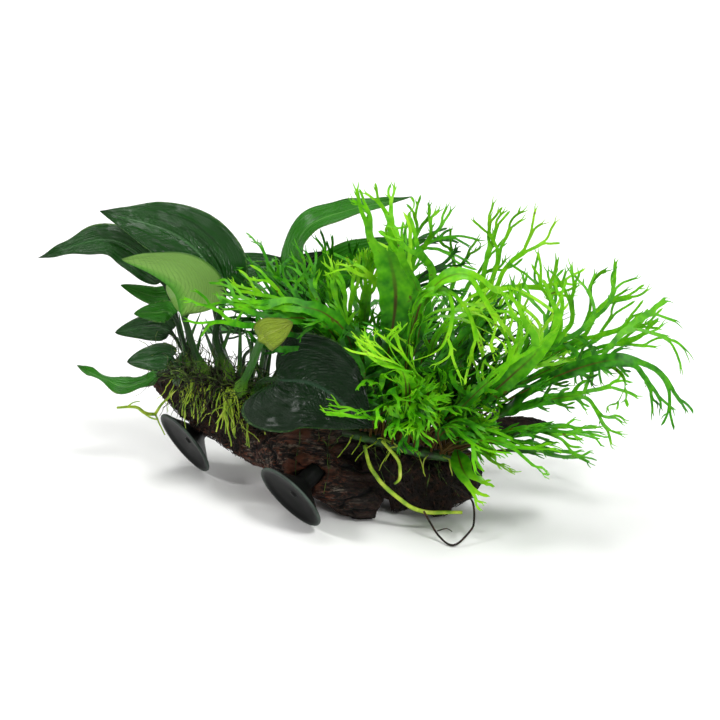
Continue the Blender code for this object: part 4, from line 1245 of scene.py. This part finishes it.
def make_young_fronds(name, settings, material):
    """Slender young fronds that grow along the grown ones, a little shorter, as one piece."""
    chance = random.Random(name)
    numbers, spreads = YOUNG_FRONDS[name]
    things = []
    for number in numbers:
        x_foot, points, half_width, _, _, facing, tone = FERN_LEAVES[number - 1]
        for extra in range(settings.young):
            first = stem_foot(FERN_RHIZOME, x_foot + chance.uniform(-5, 5), points[0])
            reach = chance.uniform(0.62, 0.95)
            # A young frond bows out to one side and swings on its way, but not far to the front
            aside = Vector((chance.uniform(-1, 1), chance.uniform(-1, 1), chance.uniform(-0.2, 0.7)))
            aside.y = max(aside.y, -0.45)
            swing = Vector((chance.uniform(-9, 9), chance.uniform(-9, 9), chance.uniform(-2, 9)))
            route = []
            for i, place in enumerate(points):
                share = (i + 1) / len(points)
                bowed = aside * (4 + 15 * share) + swing * math.sin(math.pi * share)
                route.append(first[0] + (Vector(place) - first[0]) * reach + bowed)
            slender = max(1.6, half_width * chance.uniform(0.4, 0.75))
            fork_at = chance.uniform(0.56, 0.72)
            spread = chance.uniform(*spreads)
            own_tone = min(1.0, tone + chance.uniform(-0.25, 0.25))
            own_name = "%s_%02d_%d" % (name, number, extra)
            path = LeafPath(first + route, facing)
            things.append(Frond(own_name, path, slender, fork_at, spread, own_tone, settings).make())
    dress(join(name, things), material, "fern_green")


def make_tangle(name, settings, material):
    """Short fronds that grow every way inside the fern and hide its stalks, as one piece."""
    chance = random.Random(name)
    count, feet, low, high, tones, spreads = TANGLES[name]
    things = []
    for number in range(count):
        share = chance.random()
        foot = feet[0] + (feet[1] - feet[0]) * share
        aim = min(max(share + chance.uniform(-0.3, 0.3), 0.0), 1.0)
        tip_x = low[0] + (high[0] - low[0]) * aim
        tip = Vector((tip_x, chance.uniform(low[1], high[1]), chance.uniform(low[2], high[2])))
        first = stem_foot(FERN_RHIZOME, foot, (foot, 0.5 * (tip.y - 30), tip.z))
        stray = Vector((chance.uniform(-4, 4), chance.uniform(-6, 4), chance.uniform(3, 15)))
        crown = first[1].lerp(tip, 0.6) + stray
        rise = first[1].lerp(crown, 0.45) + Vector((chance.uniform(-4, 4), -2.0, 4.0))
        path = LeafPath(first + [rise, crown, tip], UP if chance.random() < 0.6 else FRONT)
        half_width = chance.uniform(2.0, 4.6)
        fork_at = chance.uniform(0.5, 0.7)
        spread = chance.uniform(*spreads)
        tone = chance.uniform(*tones)
        own_name = "%s_%02d" % (name, number)
        things.append(Frond(own_name, path, half_width, fork_at, spread, tone, settings).make())
    dress(join(name, things), material, "fern_green")


def make_tubes(name, routes, sides=6):
    """Join tubes, each along a list of x, y, z and radius in mm, into one mesh object."""
    curve = bpy.data.curves.new(name, "CURVE")
    curve.dimensions = "3D"
    curve.bevel_depth = MM
    curve.bevel_resolution = (sides - 4) // 2
    curve.use_fill_caps = True
    for route in routes:
        spline = curve.splines.new("POLY")
        spline.points.add(len(route) - 1)
        for point, (x, y, z, radius) in zip(spline.points, route):
            point.co = (*at((x, y, z)), 1.0)
            point.radius = radius
    thing = new_object(name, curve)
    bpy.ops.object.convert(target="MESH")
    merge_close(thing, 0.002)
    return thing


def wander(stations, seed):
    """The route of a free root through stations of x, y, z and radius in mm, between which it sways."""
    length = sum((Vector(b[:3]) - Vector(a[:3])).length for a, b in zip(stations, stations[1:]))
    count = max(4, round(length / FREE_ROOT_STEP) + 1)
    route = []
    for i, sample in enumerate(smooth_path(stations, count)):
        t = i / (count - 1)
        sway = [wave(*sample[:3], SWAY_SIZE, SWAY_SIZE, seed + 40 * k) for k in range(3)]
        drift = Vector(sway) * FREE_ROOT_SWAY * min(1.0, 5 * t)
        route.append((sample[0] + drift.x, sample[1] + drift.y, sample[2] + drift.z, sample[3]))
    return route


def log_at(x):
    """The log's axis at some x: y, z and radius in mm."""
    return [between([(station[0], station[k]) for station in LOG_AXIS], x) for k in (1, 2, 3)]


class WoodSurface:
    """The dressed log, asked where its surface is."""

    def __init__(self):
        wood = bpy.data.objects["driftwood"]
        bpy.context.view_layer.update()
        self.tree = BVHTree.FromObject(wood, bpy.context.evaluated_depsgraph_get())

    def place(self, x, turn, clearance):
        """A listed place in mm above the surface, at some x and turned from the top towards the front."""
        y, z, radius = log_at(x)
        way = Vector((0.0, -math.sin(turn), math.cos(turn)))
        axis = at((x, y, z))
        hit = self.tree.ray_cast(axis + way * FAR_OUT * MM, -way)[0]
        if hit is None:
            hit = axis + way * radius * MM
        spot = (hit + way * clearance * MM) / MM
        return Vector((spot.x + MID_X, spot.y + MID_Y, spot.z))

    def outside(self, place, clearance):
        """A listed place in mm, moved out to a clearance from the log if it is closer or inside."""
        point = at(place)
        near, normal = self.tree.find_nearest(point)[:2]
        short = clearance * MM - (point - near).dot(normal)
        return Vector(place) + normal * short / MM if short > 0 else Vector(place)


def clinging_roots(surface, chance, count, x_range, turn_range, reach_range, radius_range, clearance):
    """Routes of roots that run over the log: from a start at the top they wander down and sideways."""
    routes = []
    low_x, high_x = x_range
    for _ in range(count):
        x = chance.uniform(*x_range)
        turn = chance.uniform(*turn_range)
        radius = chance.uniform(*radius_range)
        reach = chance.uniform(*reach_range)
        slant = chance.uniform(-0.9, 0.9)
        down = chance.uniform(0.02, 0.075)
        steps = max(4, round(reach / CLINGING_STEP))
        route = []
        for i in range(steps):
            t = i / (steps - 1)
            lift = clearance * (0.3 + chance.random())
            spot = surface.place(x, turn, lift)
            spot.z = max(spot.z, 2 * radius)
            route.append((*spot, radius * (1 - TAPER * t)))
            x += CLINGING_STEP * slant + chance.uniform(-0.8, 0.8)
            turn += CLINGING_STEP * down + chance.uniform(-0.05, 0.05)
            slant += chance.uniform(-0.35, 0.35)
            # A root that reaches the end of its range turns back
            if not low_x < x < high_x:
                slant = -0.6 * slant
                x = min(max(x, low_x), high_x)
        routes.append(route)
    return routes


def grow(surface, chance, start, way, reach, radius, sway, sag):
    """A route grown step by step: each step sways and sags, and stays clear of the log."""
    steps = max(4, round(reach / GROWING_STEP))
    place, way = Vector(start), Vector(way)
    route = []
    for i in range(steps):
        route.append((*place, radius * (1 - TAPER * i / (steps - 1))))
        way += Vector([chance.uniform(-sway, sway) for _ in range(3)]) - Vector((0.0, 0.0, sag))
        way.normalize()
        place = surface.outside(place + way * GROWING_STEP, OFF_LOG + radius)
    return route


def stem_roots(surface, chance, rhizome, count, x_range, turn_range, reach_range, radius_range, sway, sag):
    """Routes of roots that break out of a creeping stem, turned from its top towards the front."""
    samples = [s for s in smooth_path(rhizome, STEM_SAMPLES) if x_range[0] <= s[0] <= x_range[1]]
    routes = []
    for _ in range(count):
        x, y, z, stem = chance.choice(samples)
        turn = chance.uniform(*turn_range)
        way = Vector((chance.uniform(-0.5, 0.5), -math.sin(turn), math.cos(turn)))
        start = Vector((x + chance.uniform(-1, 1), y, z)) + way * stem * 0.7
        reach = chance.uniform(*reach_range)
        radius = chance.uniform(*radius_range)
        routes.append(grow(surface, chance, start, way, reach, radius, sway, sag))
    return routes


def make_rhizome(name, stations, scars, material, node):
    """A creeping stem with rings where old leaves sat and small knobs where roots break out."""
    samples = smooth_path(stations, 70)
    route = []
    for i, (x, y, z, radius) in enumerate(samples):
        ring = 0.10 * abs(math.sin(scars * math.pi * i / (len(samples) - 1)))
        route.append((x, y, z, radius * (0.92 + ring)))
    stem = make_tubes(name, [route], 16)
    for vertex, normal in vertices_and_normals(stem):
        vertex.co += normal * STEM_BUMPS * MM * noise.noise(vertex.co * per(STEM_BUMP_SIZE))
    dress(stem, material, "rhizome_green", node)


def make_shoots(settings):
    """Young leaves of the anubias that are still rolled up, as one piece."""
    chance = random.Random("shoots")
    shoots = []
    for _ in range(settings.shoots):
        x = chance.uniform(-90, -48)
        tip = Vector((x + chance.uniform(-14, 14), chance.uniform(-6, 26), chance.uniform(68, 96)))
        low, high = stem_foot(ANUBIAS_RHIZOME, x, (x, 10, 80))
        stations = [(*low, 1.6), (*high, 1.3), (*high.lerp(tip, 0.5), 0.9), (*tip, 0.2)]
        shoots.append(smooth_path(stations, 14))
    skin = fleshy_stem("rolled_leaf", 9.0, 0.4, (0.3, "12300a"), (0.55, "245a14"), (0.8, "4c8a24"))
    dress(make_tubes("anubias_shoots", shoots, 8), skin, "anubias_green")


class PLANT_OT_driftwood(bpy.types.Operator):
    """Join and carve the driftwood log"""

    bl_idname = "plant.driftwood"
    bl_label = "Driftwood"

    def execute(self, context):
        make_driftwood(context.scene.plant_driftwood)
        return {"FINISHED"}


class PLANT_OT_cups(bpy.types.Operator):
    """Turn the three suction cups"""

    bl_idname = "plant.cups"
    bl_label = "Suction cups"

    def execute(self, context):
        settings = context.scene.plant_cups
        material = moulded_rubber(settings)
        for name in CUPS:
            make_cup(name, settings, material)
        return {"FINISHED"}


class PLANT_OT_anubias_leaves(bpy.types.Operator):
    """Grow the leaves of the anubias"""

    bl_idname = "plant.anubias_leaves"
    bl_label = "Anubias leaves"

    def execute(self, context):
        settings = context.scene.plant_anubias
        under = (list(settings.underside), list(settings.petiole))
        face = list(settings.face)
        olive = list(settings.olive)
        # The grown and the old leaves have vein colours paler and greyer than their faces: partly their own,
        # partly painted sheen along the veins
        grown = waxy_leaf("waxy_dark_leaf", face, *under, "3a6a35", "3f7a2c", 0.22, shine=0.36)
        pale = waxy_leaf("pale_leaf_underside", face, *under, "2f7012", "5d9a35", 0.42, "3f8f0c",
                         veins_show=0.3, rib_width=0.2)
        yellowed = waxy_leaf("old_olive_leaf", olive, olive, linear("35741a"), "8a9a3a", "9aa040", 0.45)
        young = waxy_leaf("waxy_fresh_leaf", list(settings.fresh), *under, "5f9a44", "5c9a38", 0.3)
        # A darker copy of the grown leaf: partly the colour of old leaves, partly painted shade
        aged_and_shaded = waxy_leaf("waxy_old_shaded_leaf", list(settings.old), *under, "24402a", "2f5c24", 0.22, shine=0.17)
        materials = {"pale": pale, "olive": yellowed}
        materials.update(dict.fromkeys(FRESH_LEAVES, young))
        materials.update(dict.fromkeys(OLD_AND_SHADED_LEAVES, aged_and_shaded))
        make_shoots(settings)
        for key in ANUBIAS_LEAVES:
            slot = LEAF_SLOTS.get(key, "anubias_green")
            AnubiasLeaf(key, settings).make(materials.get(key, grown), slot)
        return {"FINISHED"}


class PLANT_OT_stems(bpy.types.Operator):
    """Lay the two creeping stems"""

    bl_idname = "plant.stems"
    bl_label = "Creeping stems"

    def execute(self, context):
        # A creeping stem: smooth green skin with brown scars where leaves sat
        material = fleshy_stem("scarred_green_stem", 4.0, 0.5, (0.34, "1c150b"), (0.46, "1f3a12"),
                               (0.62, "2f5c1a"), (0.85, "5b8f2c"))
        make_rhizome("anubias_stem", ANUBIAS_RHIZOME, 9, material, "anubias_rhizome")
        make_rhizome("fern_stem", FERN_RHIZOME, 14, material, "fern_rhizome")
        return {"FINISHED"}


class PLANT_OT_roots(bpy.types.Operator):
    """Hang and lay the roots of both plants"""

    bl_idname = "plant.roots"
    bl_label = "Roots"

    def execute(self, context):
        settings = context.scene.plant_roots
        # Living root: yellow-green and a little fuzzy; old root: dark brown and wiry
        fresh = fleshy_stem("fresh_root", 5.0, 0.6, (0.25, "4a7018"), (0.42, "84ab26"), (0.58, "b2ca38"),
                            (0.78, "d4de72"))
        old = fleshy_stem("old_root", 3.0, 0.8, (0.25, "080504"), (0.5, "1a100a"), (0.68, "3d2415"),
                          (0.85, "6b4528"))
        mossy = fleshy_stem("mossy_root", 3.0, 0.7, (0.25, "100c07"), (0.42, "262610"), (0.56, "3f5a1a"),
                            (0.78, "7d8f34"))
        for name, (slot, stations) in FREE_ROOTS.items():
            routes = [wander(strand, len(name)) for strand in [stations] + ROOT_HAIRS[name]]
            root = make_tubes(name.replace("root", "root_strand"), routes, 10)
            dress(root, fresh if slot == "pale_root" else old, slot, name)
        surface = WoodSurface()
        chance = random.Random("roots")
        for plant in ("anubias", "fern"):
            name = plant + "_root_felt"
            routes = clinging_roots(surface, chance, settings.strands, *CLINGING_ROOTS[name])
            dress(make_tubes(name, routes), old, "dark_root", plant + "_root_mat")
        # The finish, the slot and the sides of the strands of each piece
        looks = {
            "anubias_hanging_roots": (fresh, "pale_root", 6),
            "anubias_wiry_roots": (mossy, "dark_root", 4),
            "anubias_brown_roots": (old, "dark_root", 4),
            "fern_short_roots": (fresh, "pale_root", 6),
        }
        for name, (material, slot, sides) in looks.items():
            routes = [route for bunch in STEM_ROOTS[name] for route in stem_roots(surface, chance, *bunch)]
            dress(make_tubes(name, routes, sides), material, slot)
        name = "fern_creeping_roots"
        routes = clinging_roots(surface, chance, CREEPING_COUNT, *CLINGING_ROOTS[name])
        dress(make_tubes(name, routes), mossy, "dark_root")
        return {"FINISHED"}


class PLANT_OT_fern_fronds(bpy.types.Operator):
    """Grow the fronds of the java fern, the grown ones and the young ones"""

    bl_idname = "plant.fern_fronds"
    bl_label = "Fern fronds"

    def execute(self, context):
        settings = context.scene.plant_fern
        material = fern_frond(settings)
        for number in range(1, len(FERN_LEAVES) + 1):
            make_fern_frond(number, settings, material)
        for name in YOUNG_FRONDS:
            make_young_fronds(name, settings, material)
        for name in TANGLES:
            make_tangle(name, settings, material)
        return {"FINISHED"}


class PLANT_OT_stage(bpy.types.Operator):
    """Set the floor, the lights and the camera"""

    bl_idname = "plant.stage"
    bl_label = "Stage"

    def execute(self, context):
        scene = context.scene
        settings = scene.plant_stage
        deselect_all()
        below = (0.0, 0.0, CAD_LOW.z - FLOOR_GAP * MM)
        bpy.ops.mesh.primitive_plane_add(size=FLOOR_SIZE, location=below)
        floor = bpy.context.object
        floor.name = "paper_floor"
        bpy.ops.object.transform_apply(location=True, rotation=True, scale=True)
        # White paper: matte, with a pattern of fibres 3 mm wide that is too faint to show
        paper = Finish("white_paper", Roughness=0.9, Specular_IOR_Level=0.2)
        faint = paper.fade(paper.pattern(per(3), 2.0), to_high=0.02)
        base = paper.mix(faint, list(settings.floor), linear("d9d9d6"))
        paper.tree.links.new(base, paper.shader.inputs["Base Color"])
        floor.data.materials.append(paper.material)
        # A sky that is white at the horizon and grey above, so that glossy leaves keep their depth
        world = bpy.data.worlds.new("studio_sky")
        world.use_nodes = True
        sky = world.node_tree
        way = add_node(sky, "TexCoord").outputs["Generated"]
        height = add_node(sky, "SeparateXYZ", {0: way}).outputs[2]
        tint = add_node(sky, "ValToRGB", {"Fac": height}, stops=[
            (0.0, "ffffff"), (0.03, "ffffff"), (0.07, "808080"), (0.3, "505050"), (1.0, "606060")])
        sky.links.new(tint.outputs[0], sky.nodes["Background"].inputs["Color"])
        sky.nodes["Background"].inputs["Strength"].default_value = settings.light
        scene.world = world
        for name, (source, strength, width) in LAMPS.items():
            bpy.ops.object.light_add(type="SUN", location=source)
            lamp = bpy.context.object
            lamp.name = name + "_softbox"
            lamp.data.energy = strength
            lamp.data.angle = math.radians(width)
            lamp.rotation_euler = Vector(source).to_track_quat("Z", "Y").to_euler()
        aim = at((0, 0, settings.aim_height / MM))
        away = Vector((0.0, -math.cos(settings.elevation), math.sin(settings.elevation)))
        bpy.ops.object.camera_add(location=aim + away * settings.camera_distance)
        camera = bpy.context.object
        camera.rotation_euler = (-away).to_track_quat("-Z", "Y").to_euler()
        camera.data.lens = settings.lens
        camera.data.sensor_width = 36.0
        camera.data.clip_start = 0.01
        camera.data.clip_end = 30.0
        scene.camera = camera
        scene.view_settings.view_transform = "Standard"
        scene.view_settings.look = "None"
        return {"FINISHED"}


class PLANT_PT_looks(bpy.types.Panel):
    """The pieces of the planted driftwood"""

    bl_idname = "PLANT_PT_looks"
    bl_label = "Planted driftwood"
    bl_space_type = "VIEW_3D"
    bl_region_type = "UI"
    bl_category = "Plant"

    def draw(self, context):
        layout = self.layout
        for operator in OPERATORS:
            layout.operator(operator.bl_idname)
        for attribute in SETTINGS:
            box = layout.box()
            group = getattr(context.scene, attribute)
            for name in group.__annotations__:
                box.prop(group, name)


SETTINGS = {
    "plant_driftwood": DriftwoodSettings,
    "plant_cups": CupSettings,
    "plant_anubias": AnubiasSettings,
    "plant_fern": FernSettings,
    "plant_roots": RootSettings,
    "plant_stage": StageSettings,
}
OPERATORS = (
    PLANT_OT_stage, PLANT_OT_driftwood, PLANT_OT_cups, PLANT_OT_stems, PLANT_OT_anubias_leaves,
    PLANT_OT_roots, PLANT_OT_fern_fronds,
)


def register():
    """Register the settings, the operators and the panel."""
    for attribute, group in SETTINGS.items():
        bpy.utils.register_class(group)
        setattr(bpy.types.Scene, attribute, PointerProperty(type=group))
    for operator in OPERATORS:
        bpy.utils.register_class(operator)
    bpy.utils.register_class(PLANT_PT_looks)


def unregister():
    """Take back what register did."""
    bpy.utils.unregister_class(PLANT_PT_looks)
    for operator in reversed(OPERATORS):
        bpy.utils.unregister_class(operator)
    for attribute, group in SETTINGS.items():
        delattr(bpy.types.Scene, attribute)
        bpy.utils.unregister_class(group)


def main():
    """Make every piece."""
    register()
    bpy.ops.plant.stage()
    bpy.ops.plant.driftwood()
    bpy.ops.plant.cups()
    bpy.ops.plant.stems()
    bpy.ops.plant.anubias_leaves()
    bpy.ops.plant.roots()
    bpy.ops.plant.fern_fronds()
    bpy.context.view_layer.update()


if __name__ == "__main__":
    main()
